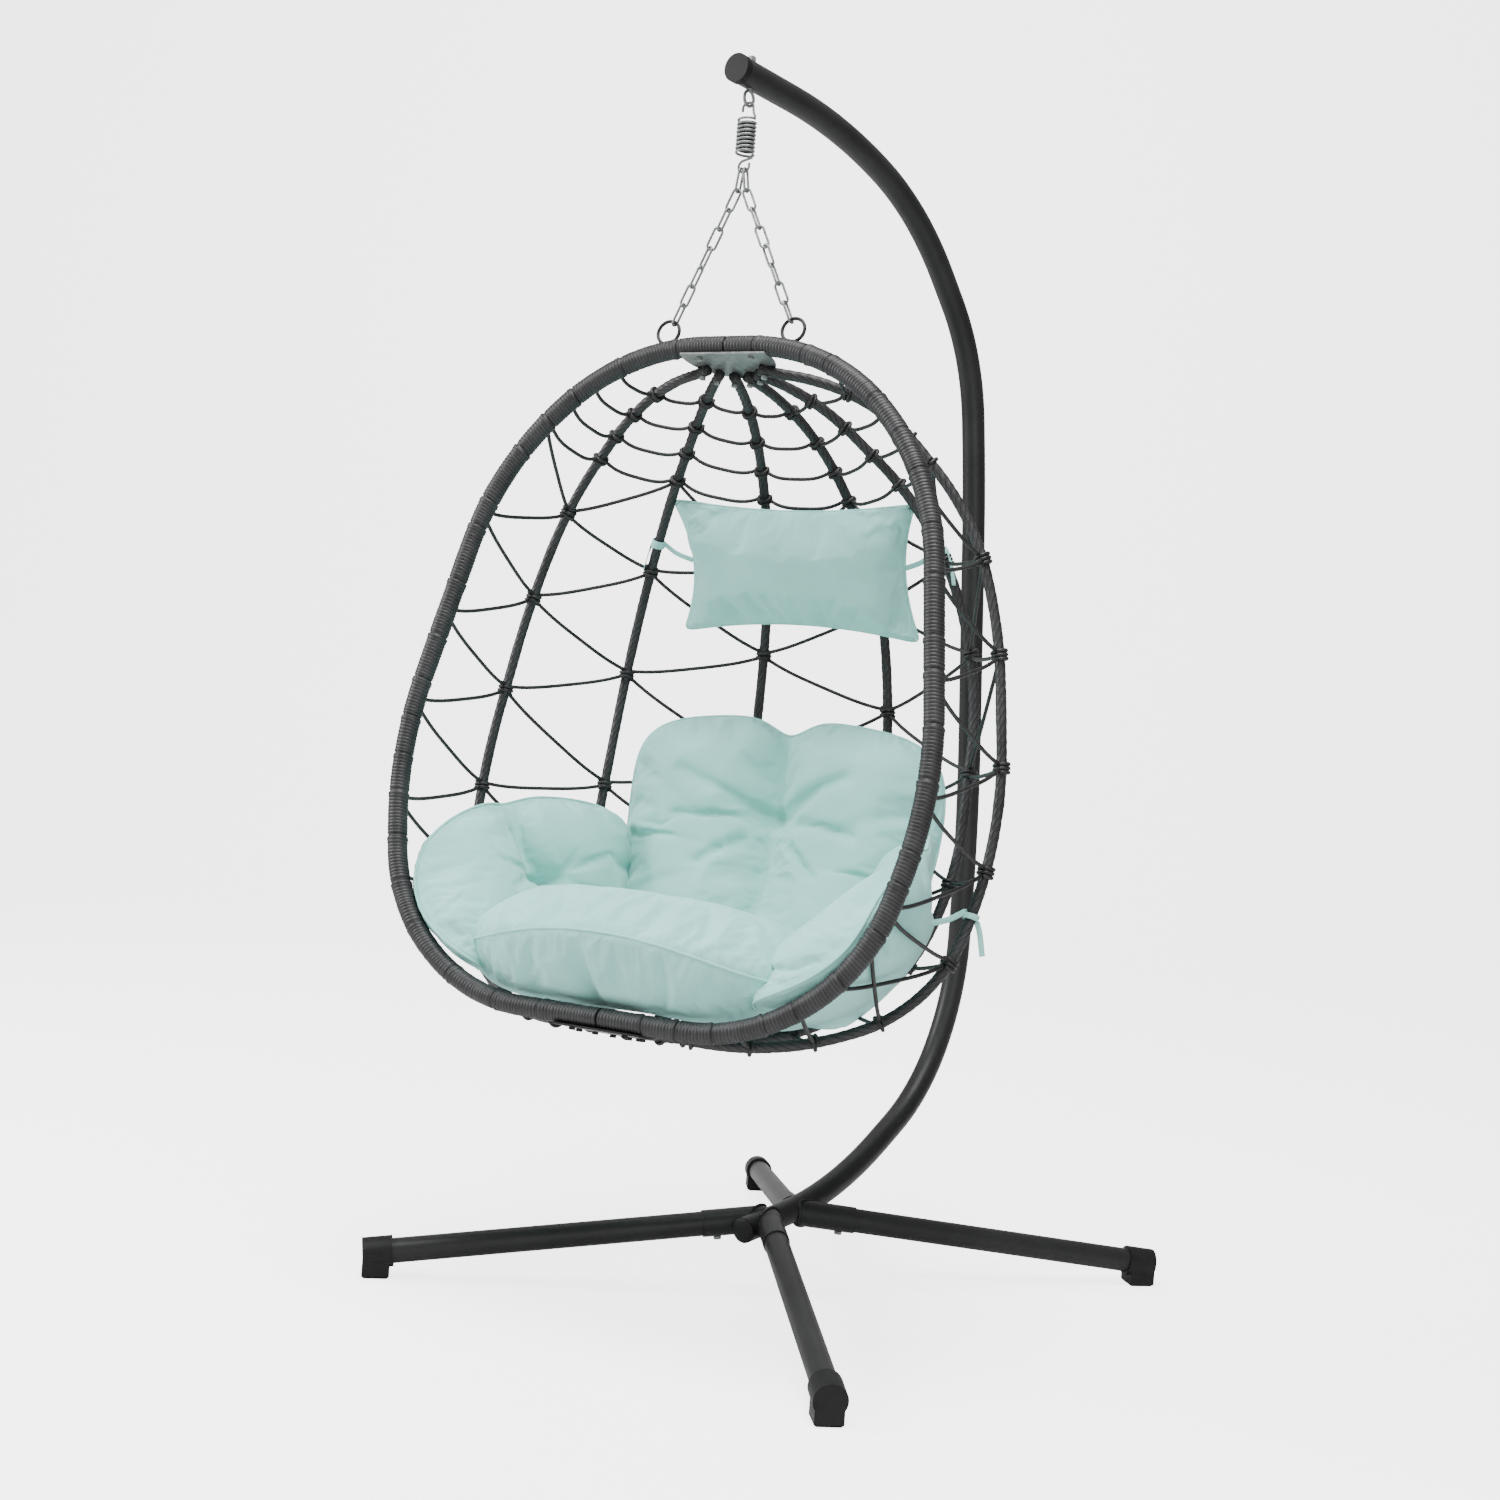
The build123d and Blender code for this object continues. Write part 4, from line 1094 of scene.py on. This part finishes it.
def cushion_shape(cushion):
    """Closed cushion of two sheets: middle + normal * rise * (1 - share ** flat) ** 0.5 over, the same with
    the other rise under, for shares 0 to 1 of the way to the seam; channels lower the upper sheet, and
    gathers lower both towards the seam."""
    controls, rise, fall = cushion["controls"], cushion["rise"], cushion["fall"]
    share = np.sin(np.linspace(0, np.pi / 2, RINGS))[1:, None]
    angle = even_angles(AROUND)[None, :]
    reach = seam_share(angle, cushion)
    u, v = share * np.cos(angle) * reach, share * np.sin(angle) * reach
    middle = middle_surface(controls, u, v)
    normal = surface_normal(controls, u, v)
    profile = np.sqrt(np.clip(1 - share ** cushion["flat"], 0, 1))
    over = rise(u, v) * profile - channel_depth(cushion, u, v) * profile
    over = over * (1 - cushion["gather"] * gathers(angle, UPPER_START) * share ** 2)
    under = fall(u, v) * profile * (1 - cushion["gather"] * gathers(angle, LOWER_START) * share ** 2)
    top = middle + normal * over[..., None]
    bottom = (middle - normal * under[..., None])[:-1][::-1]
    zero = np.zeros((1,))
    pole_middle = middle_surface(controls, zero, zero)
    pole_normal = surface_normal(controls, zero, zero)
    pole_rise = rise(zero, zero) - channel_depth(cushion, zero, zero)
    pole_top = pole_middle + pole_normal * pole_rise[:, None]
    pole_bottom = pole_middle - pole_normal * fall(zero, zero)[:, None]
    grid = np.concatenate((top, bottom))
    rows = len(grid)
    points = np.concatenate((grid.reshape(-1, 3), pole_top, pole_bottom))
    faces = [tuple(face[::-1]) for face in grid_faces(rows, AROUND, True).tolist()]
    last = (rows - 1) * AROUND
    top_pole, bottom_pole = rows * AROUND, rows * AROUND + 1
    faces += [(top_pole, k, (k + 1) % AROUND) for k in range(AROUND)]
    faces += [(bottom_pole, last + (k + 1) % AROUND, last + k) for k in range(AROUND)]
    return points, faces


print("start shape of", 2 * (RINGS - 1) * AROUND, "faces")



# %% [markdown]
# The cushions' own numbers, in millimetres in the basket's frame: the seat lies in the bottom, the back
# stands behind it in two lobes, and an arm cushion fills each side. A notch is (degrees round the seam,
# depth, width), and a channel is (start, end, depth, width), both in the cushion's own u and v.

# %% The cushions' numbers


def plane(height, along_u=0.0, along_v=0.0, curve_u=0.0):
    """Rise height + along_u * u + along_v * v + curve_u * u ** 2."""
    return lambda u, v: height + along_u * u + along_v * v + curve_u * u * u + 0.0 * u * v


def mirrored(controls):
    """The same nine points on the chair's other side, in reversed order so that the upper sheet stays
    inside."""
    return [[(-x, y, z) for x, y, z in row] for row in controls][::-1]


SEAT = {
    "controls": [[(-262, -26, -992), (-292, 140, -966), (-225, 318, -962)],
                 [(0, -66, -948), (0, 140, -966), (0, 338, -975)],
                 [(262, -26, -992), (292, 140, -966), (225, 318, -962)]],
    "squareness": 4.0, "flat": 3.4, "rise": plane(70), "fall": plane(74, 0, -22, 20),
    "notches": (), "channels": [], "gather": 0.24,
}
BACK = {
    "controls": [[(-236, 384, -962), (-282, 448, -760), (-296, 438, -532)],
                 [(0, 395, -985), (-8, 498, -765), (-20, 468, -500)],
                 [(236, 384, -962), (286, 450, -760), (280, 448, -532)]],
    "squareness": 7.0, "flat": 3.6, "rise": plane(78, 0, -19.5), "fall": plane(18, 0, 4),
    "notches": ((90, 0.1, 0.16),), "gather": 0.16,
    "channels": [((0, 1.0), (0, 0.36), 38, 0.075), ((0, 0.36), (0.03, -0.7), 32, 0.07),
                 ((0, 0.36), (0, 0.36), 56, 0.12),
                 ((0, 0.36), (-0.6, 0.62), 13, 0.045), ((0, 0.36), (0.5, 0.66), 13, 0.045),
                 ((0, 0.36), (-0.6, 0.28), 12, 0.045), ((0, 0.36), (0.6, 0.24), 12, 0.045),
                 ((0, 0.36), (-0.4, -0.12), 11, 0.045), ((0, 0.36), (0.42, -0.14), 11, 0.045)],
}
ARM_LEFT = {
    "controls": [[(-384, 16, -842), (-372, 200, -730), (-272, 428, -694)],
                 [(-346, -8, -946), (-384, 185, -880), (-254, 436, -850)],
                 [(-212, -14, -1018), (-252, 180, -1022), (-210, 380, -1000)]],
    "squareness": 7.0, "flat": 3.4, "rise": plane(96, 8, -6), "fall": plane(12),
    "notches": ((180, 0.06, 0.16),), "gather": 0.16,
    "channels": [((0.08, 0.3), (-1.0, -0.02), 38, 0.09), ((0.08, 0.3), (0.08, 0.3), 66, 0.14),
                 ((0.08, 0.3), (0.5, -0.3), 13, 0.05), ((0.08, 0.3), (-0.1, -0.5), 13, 0.05),
                 ((0.08, 0.3), (0.2, 0.85), 12, 0.05), ((0.08, 0.3), (-0.35, 0.75), 12, 0.05)],
}
ARM_RIGHT = dict(ARM_LEFT, controls=mirrored(ARM_LEFT["controls"]), notches=((0, 0.06, 0.16),),
                 rise=plane(96, -8, -6))
ARM_RIGHT["channels"] = [((-u0, v0), (-u1, v1), size, width)
                         for (u0, v0), (u1, v1), size, width in ARM_LEFT["channels"]]
PILLOW = {
    "controls": [[(-222, 407, -372), (-196, 357, -268), (-224, 290, -174)],
                 [(0, 392, -354), (0, 350, -268), (0, 306, -186)],
                 [(222, 407, -372), (196, 357, -268), (224, 290, -174)]],
    "squareness": 24.0, "flat": 2.2, "rise": plane(44), "fall": plane(44),
    "notches": (), "channels": [], "gather": 0.08,
}
print("seat", max(x for row in SEAT["controls"] for x, _, _ in row) * 2, "mm wide at its seam")

# %% [markdown]
# Now the cloth. It must be held wherever it is sewn: at the seam, and in the deep channels.

# %% Where the cloth is sewn
SEWN_DEPTH = 20.0       # channels at least this deep are sewn through; shallower ones are free creases
INSIDE_SEAM = 0.98


def seam_line(cushion, count=160):
    """The seam: the middle surface where the share of the way to it is one."""
    angle = np.linspace(0, 2 * np.pi, count, endpoint=False)
    reach = seam_share(angle, cushion)
    return middle_surface(cushion["controls"], np.cos(angle) * reach, np.sin(angle) * reach)


def channel_line(cushion, count=30):
    """Points along each channel, on the upper sheet at the channel's depth."""
    lines = []
    for (u0, v0), (u1, v1), depth, _ in cushion["channels"]:
        if depth < SEWN_DEPTH:
            continue
        share = np.linspace(0, 1, count)
        u, v = u0 + (u1 - u0) * share, v0 + (v1 - v0) * share
        squareness = cushion["squareness"]
        inside = np.abs(u) ** squareness + np.abs(v) ** squareness < INSIDE_SEAM
        u, v = u[inside], v[inside]
        profile = np.sqrt(np.clip(1 - np.maximum(np.abs(u), np.abs(v)) ** cushion["flat"], 0, 1))
        height = (cushion["rise"](u, v) - channel_depth(cushion, u, v)) * profile
        lines.append(middle_surface(cushion["controls"], u, v)
                     + surface_normal(cushion["controls"], u, v) * height[:, None])
    return np.concatenate(lines) if lines else np.zeros((0, 3))


print("sewn points on the back cushion", len(seam_line(BACK)) + len(channel_line(BACK)))

# %% [markdown]
# We cover the start shape with an even net of points, hold the sewn ones, and blow it up a little. Where held
# cloth meets free cloth it puckers, as sewn cloth does. Noise could draw such folds, but they would not know
# where the seams are.

# %% Points and modifiers


def mesh_points(mesh):
    """The mesh's points as an array."""
    points = np.empty(len(mesh.vertices) * 3, np.float32)
    mesh.vertices.foreach_get("co", points)
    return points.reshape(-1, 3).astype(float)


def apply_modifiers(piece):
    """The mesh as its modifiers leave it, put in the piece in place of the old one."""
    graph = bpy.context.evaluated_depsgraph_get()
    mesh = bpy.data.meshes.new_from_object(piece.evaluated_get(graph), depsgraph=graph)
    old = piece.data
    piece.modifiers.clear()
    piece.data = mesh
    bpy.data.meshes.remove(old)


# %% [markdown]
# Pressure is switched on for a few frames only: enough for folds, and too short for the cloth to balloon. We
# then limit how far any point has moved, above all towards the basket's wall, where ribs and net press back.

# %% Blow the cushions up
NET_SIZE = 0.0055
PRESSURE = 4.0
FRAMES = 16
SHRINK = -0.06          # below nothing, so the cloth is a little too large for its shape
STRETCH_STIFFNESS = 12
BEND_STIFFNESS = 0.15
HOLD_REACH = 0.007      # held fully within six tenths of this, and free past 1.6 times it
BASKET_MIDDLE = np.array((0.0, 130.0, -700.0))
WALL_GIVE = 3.0
CUSHION_CAP, PILLOW_CAP = 22, 12        # how far any point may move


def blow_up(piece, held, cap):
    """Cloth pressure on a remeshed copy of the start shape; points near the held lines stay, and no point
    moves more than the cap: start + move * min(1, cap / length of move). The basket's wall takes up all
    but a little of any move away from the basket's middle."""
    remesh = piece.modifiers.new("net", "REMESH")
    remesh.mode = "VOXEL"
    remesh.voxel_size = NET_SIZE
    apply_modifiers(piece)
    start = mesh_points(piece.data)
    weight = np.round(np.clip(1.6 - near_lines(start, held * MM) / HOLD_REACH, 0, 1), 1)
    group = piece.vertex_groups.new(name="held")
    for level in np.unique(weight[weight > 0]):
        group.add(np.flatnonzero(weight == level).tolist(), float(level), "REPLACE")
    cloth = piece.modifiers.new("cloth", "CLOTH")
    settings = cloth.settings
    settings.use_pressure = True
    settings.uniform_pressure_force = PRESSURE
    settings.vertex_group_mass = "held"
    settings.shrink_min = SHRINK
    settings.tension_stiffness = STRETCH_STIFFNESS
    settings.bending_stiffness = BEND_STIFFNESS
    settings.effector_weights.gravity = 0
    cloth.point_cache.frame_start = 1
    cloth.point_cache.frame_end = FRAMES + 1
    for step in range(1, FRAMES + 1):
        bpy.context.scene.frame_set(step)
    apply_modifiers(piece)
    bpy.context.scene.frame_set(1)
    blown = mesh_points(piece.data)
    move = blown - start
    length = np.linalg.norm(move, axis=1, keepdims=True)
    move = move * np.minimum(1, cap * MM / np.maximum(length, 1e-9))
    outward = start - BASKET_MIDDLE * MM
    outward /= np.linalg.norm(outward, axis=1, keepdims=True)
    push = np.sum(move * outward, axis=1, keepdims=True)
    settled = start + move - outward * np.maximum(push - WALL_GIVE * MM, 0)
    piece.data.vertices.foreach_set("co", settled.astype(np.float32).ravel())
    piece.vertex_groups.clear()


# %% [markdown]
# Each cushion is blown up while it still stands in the basket's own frame, and turned into place after it.
# One smoothing subdivision then rounds what the net of points leaves angular.

# %% Make a whole cushion


def make_cushion(name, cushion, cap):
    """A cushion: start shape, blown up, then one smoothing subdivision."""
    points, faces = cushion_shape(cushion)
    mesh = bpy.data.meshes.new(name)
    mesh.from_pydata((points * MM).tolist(), [], faces)
    mesh.update()
    piece = bpy.data.objects.new(name, mesh)
    bpy.context.scene.collection.objects.link(piece)
    held = np.concatenate((seam_line(cushion), channel_line(cushion)))
    blow_up(piece, held, cap)
    smooth = piece.modifiers.new("smooth", "SUBSURF")
    smooth.levels = smooth.render_levels = 1
    apply_modifiers(piece)
    mesh = piece.data
    mesh.vertices.foreach_set("co", in_place(mesh_points(mesh)).astype(np.float32).ravel())
    mesh.polygons.foreach_set("use_smooth", np.ones(len(mesh.polygons), bool))
    mesh.update()
    print(name, len(mesh.polygons), "faces")
    return piece


# %% [markdown]
# Piping is a cord sewn into the seam and covered with the same cloth. It follows the seam line all round. A
# bevelled curve would do too, but a circle carried round the line closes on itself without a join.

# %% Sew the piping
PIPING_RADIUS = 2.2


def make_piping(name, cushion):
    """Closed round cord along the seam: a circle carried round the line, joined end to start."""
    line = seam_line(cushion, 240)
    ways = np.roll(line, -1, axis=0) - np.roll(line, 1, axis=0)
    ways /= np.linalg.norm(ways, axis=1)[:, None]
    outward = line - line.mean(axis=0)
    across = outward - ways * np.sum(outward * ways, axis=1)[:, None]
    across /= np.linalg.norm(across, axis=1)[:, None]
    ring = spokes(even_angles(10), across, np.cross(ways, across))
    points = line[:, None, :] + PIPING_RADIUS * ring
    rows, around = points.shape[:2]
    faces = grid_faces(rows + 1, around, True) % (rows * around)
    return build_mesh(name, in_place(points.reshape(-1, 3) * MM), faces.tolist())


# %% [markdown]
# The cover is a matt woven cloth. Fine cells give it the tooth of a weave close up, and a slow noise keeps
# the dye from looking painted on. A little sheen lightens it where it turns away, as fine fibres do.

# %% Cover cloth
CLOTH_DARK, CLOTH_LIGHT = (0.262, 0.59, 0.54), (0.308, 0.655, 0.6)
WEAVE = 1500.0


def make_cover(name):
    """Woven cover in the chair's own colour."""
    finish = Finish(name)
    place = finish.place((1, 1, 1))
    dye = finish.noise(place, 14.0, 3.0)
    threads = finish.add("ShaderNodeTexVoronoi", {"Vector": place, "Scale": WEAVE}).outputs["Distance"]
    fuzz = finish.noise(place, 420.0, 3.0)
    weave_bump = finish.bump(threads, 0.3, 0.0003)
    finish.set(Base_Color=finish.ramp(dye, [(0.3, CLOTH_DARK), (0.7, CLOTH_LIGHT)]),
               Roughness=0.92, Normal=finish.bump(fuzz, 0.25, 0.0006, weave_bump),
               Sheen_Weight=0.15, Sheen_Roughness=0.5)
    return finish.material


cushion_cloth = make_cover("cushion_cloth")
pillow_cloth = make_cover("pillow_cloth")

print("cover cloths", cushion_cloth.name, pillow_cloth.name)

# %% [markdown]
# Every cushion takes its plain solid's place, with its piping, and rides on the basket.

# %% Fill the basket
CUSHIONS = (("seat_cushion", SEAT, "seat_pad"), ("back_cushion", BACK, "back_pad"),
            ("arm_cushion_left", ARM_LEFT, "arm_pad_left"),
            ("arm_cushion_right", ARM_RIGHT, "arm_pad_right"),
            ("head_cushion", PILLOW, "head_pillow"))

for name, cushion, node in CUSHIONS:
    is_pillow = node == "head_pillow"
    cloth_look = pillow_cloth if is_pillow else cushion_cloth
    slot_name = "pillow_fabric" if is_pillow else "cushion_fabric"
    body = make_cushion(name, cushion, PILLOW_CAP if is_pillow else CUSHION_CAP)
    piping = make_piping(name + "_piping", cushion)
    for piece in (body, piping):
        piece.data.materials.clear()
        piece.data.materials.append(cloth_look)
        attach(piece, "basket")
    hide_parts(node)

# %% [markdown]
# ## Ties
#
# Tapes sewn to the cushions are tied round the ribs beside them, with a short loose end left over. A tape is
# made like a cord, from a flat ring carried along a smooth curve.

# %% Tapes
TAPE_WIDTH = 9.0
TAPE_THICKNESS = 1.6


def tape(path, wide):
    """Flat tape along a path: an ellipse width by thickness, its wide way along the given direction."""
    ways = np.gradient(path, axis=0)
    ways /= np.linalg.norm(ways, axis=1)[:, None]
    across = wide - ways * np.sum(wide * ways, axis=1)[:, None]
    across /= np.linalg.norm(across, axis=1)[:, None]
    thin = np.cross(ways, across)
    ring = spokes(even_angles(10), across * (TAPE_WIDTH / 2), thin * (TAPE_THICKNESS / 2))
    return close_ends(path[:, None, :] + ring)


def curve_through(stops, count=24):
    """Even samples of a smooth curve through points: cubic pieces whose slope at a point is half the step
    between its two neighbours."""
    stops = np.array(stops, float)
    slopes = np.gradient(stops, axis=0)
    pieces = []
    for low in range(len(stops) - 1):
        t = np.linspace(0, 1, count, endpoint=False)[:, None]
        pieces.append((2 * t**3 - 3 * t**2 + 1) * stops[low] + (t**3 - 2 * t**2 + t) * slopes[low]
                      + (3 * t**2 - 2 * t**3) * stops[low + 1] + (t**3 - t**2) * slopes[low + 1])
    return np.concatenate(pieces + [stops[-1:]])


print("tape", TAPE_WIDTH, "by", TAPE_THICKNESS, "mm")

# %% [markdown]
# A tie is a lead from the cushion's corner, a turn and a half round the tube, and the loose end.

# %% Tie the cushions on
TIE_TURNS = 1.5
TIE_PITCH = 5.0         # how far the tape moves along the tube in one turn
TIE_LIFT = 4.0          # it starts this far up the tube
TIE_GAP = 2.2
LEAD_SAG, END_RISE = np.array((0, 0, -4.0)), np.array((0, 0, 5.0))
# each tie: the net's upright, the height on it, the cushion's corner, and the loose end's reach
PILLOW_TIES = ((2, -238, (-198.0, 352, -262), (-14.0, 10, -46)),
               (5, -238, (198.0, 352, -262), (16.0, 6, -52)))
CUSHION_TIES = ((1, -825, (-398.0, 190, -850), (-10.0, 14, -44)),
                (6, -825, (398.0, 190, -850), (12.0, 12, -48)))


def tied_round(upright, height, corner, tail):
    """Tapes of one tie: from a cushion's corner to a tube, one and a half times round it, and a loose end."""
    corner, tail = np.array(corner), np.array(tail)
    _, _, side, radius = columns[upright]
    point, way, _ = at_height(columns[upright], height)
    across = np.cross(side, way)
    reach = radius + TAPE_THICKNESS / 2 + TIE_GAP
    angle = np.linspace(0, 2 * np.pi * TIE_TURNS, 60)
    toward = corner - point
    start_angle = np.arctan2(toward @ side, toward @ across)
    climb = angle / (2 * np.pi) * TIE_PITCH - TIE_LIFT
    turns = point + way * climb[:, None] + reach * spokes(angle + start_angle, across, side)
    lead = curve_through([corner, corner * 0.45 + turns[0] * 0.55 + LEAD_SAG, turns[0]], 14)
    end = curve_through([turns[-1], turns[-1] + tail * 0.45 + END_RISE, turns[-1] + tail], 14)
    return [tape(lead, way), tape(turns, way), tape(end, way)]


def make_ties(name, ties):
    """All tapes of a pair of ties, in one mesh."""
    points, faces = gather([grid for tie in ties for grid in tied_round(*tie)])
    return build_mesh(name, in_place(points * MM), faces)


pillow_ties = make_ties("pillow_tapes", PILLOW_TIES)
cushion_ties = make_ties("cushion_tapes", CUSHION_TIES)
for piece, look, slot_name, node in ((pillow_ties, pillow_cloth, "pillow_fabric", "pillow_ties"),
                                     (cushion_ties, cushion_cloth, "cushion_fabric", "cushion_ties")):
    piece.data.materials.append(look)
    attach(piece, "basket")
    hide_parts(node)
print("tied", len(PILLOW_TIES) + len(CUSHION_TIES), "tapes")
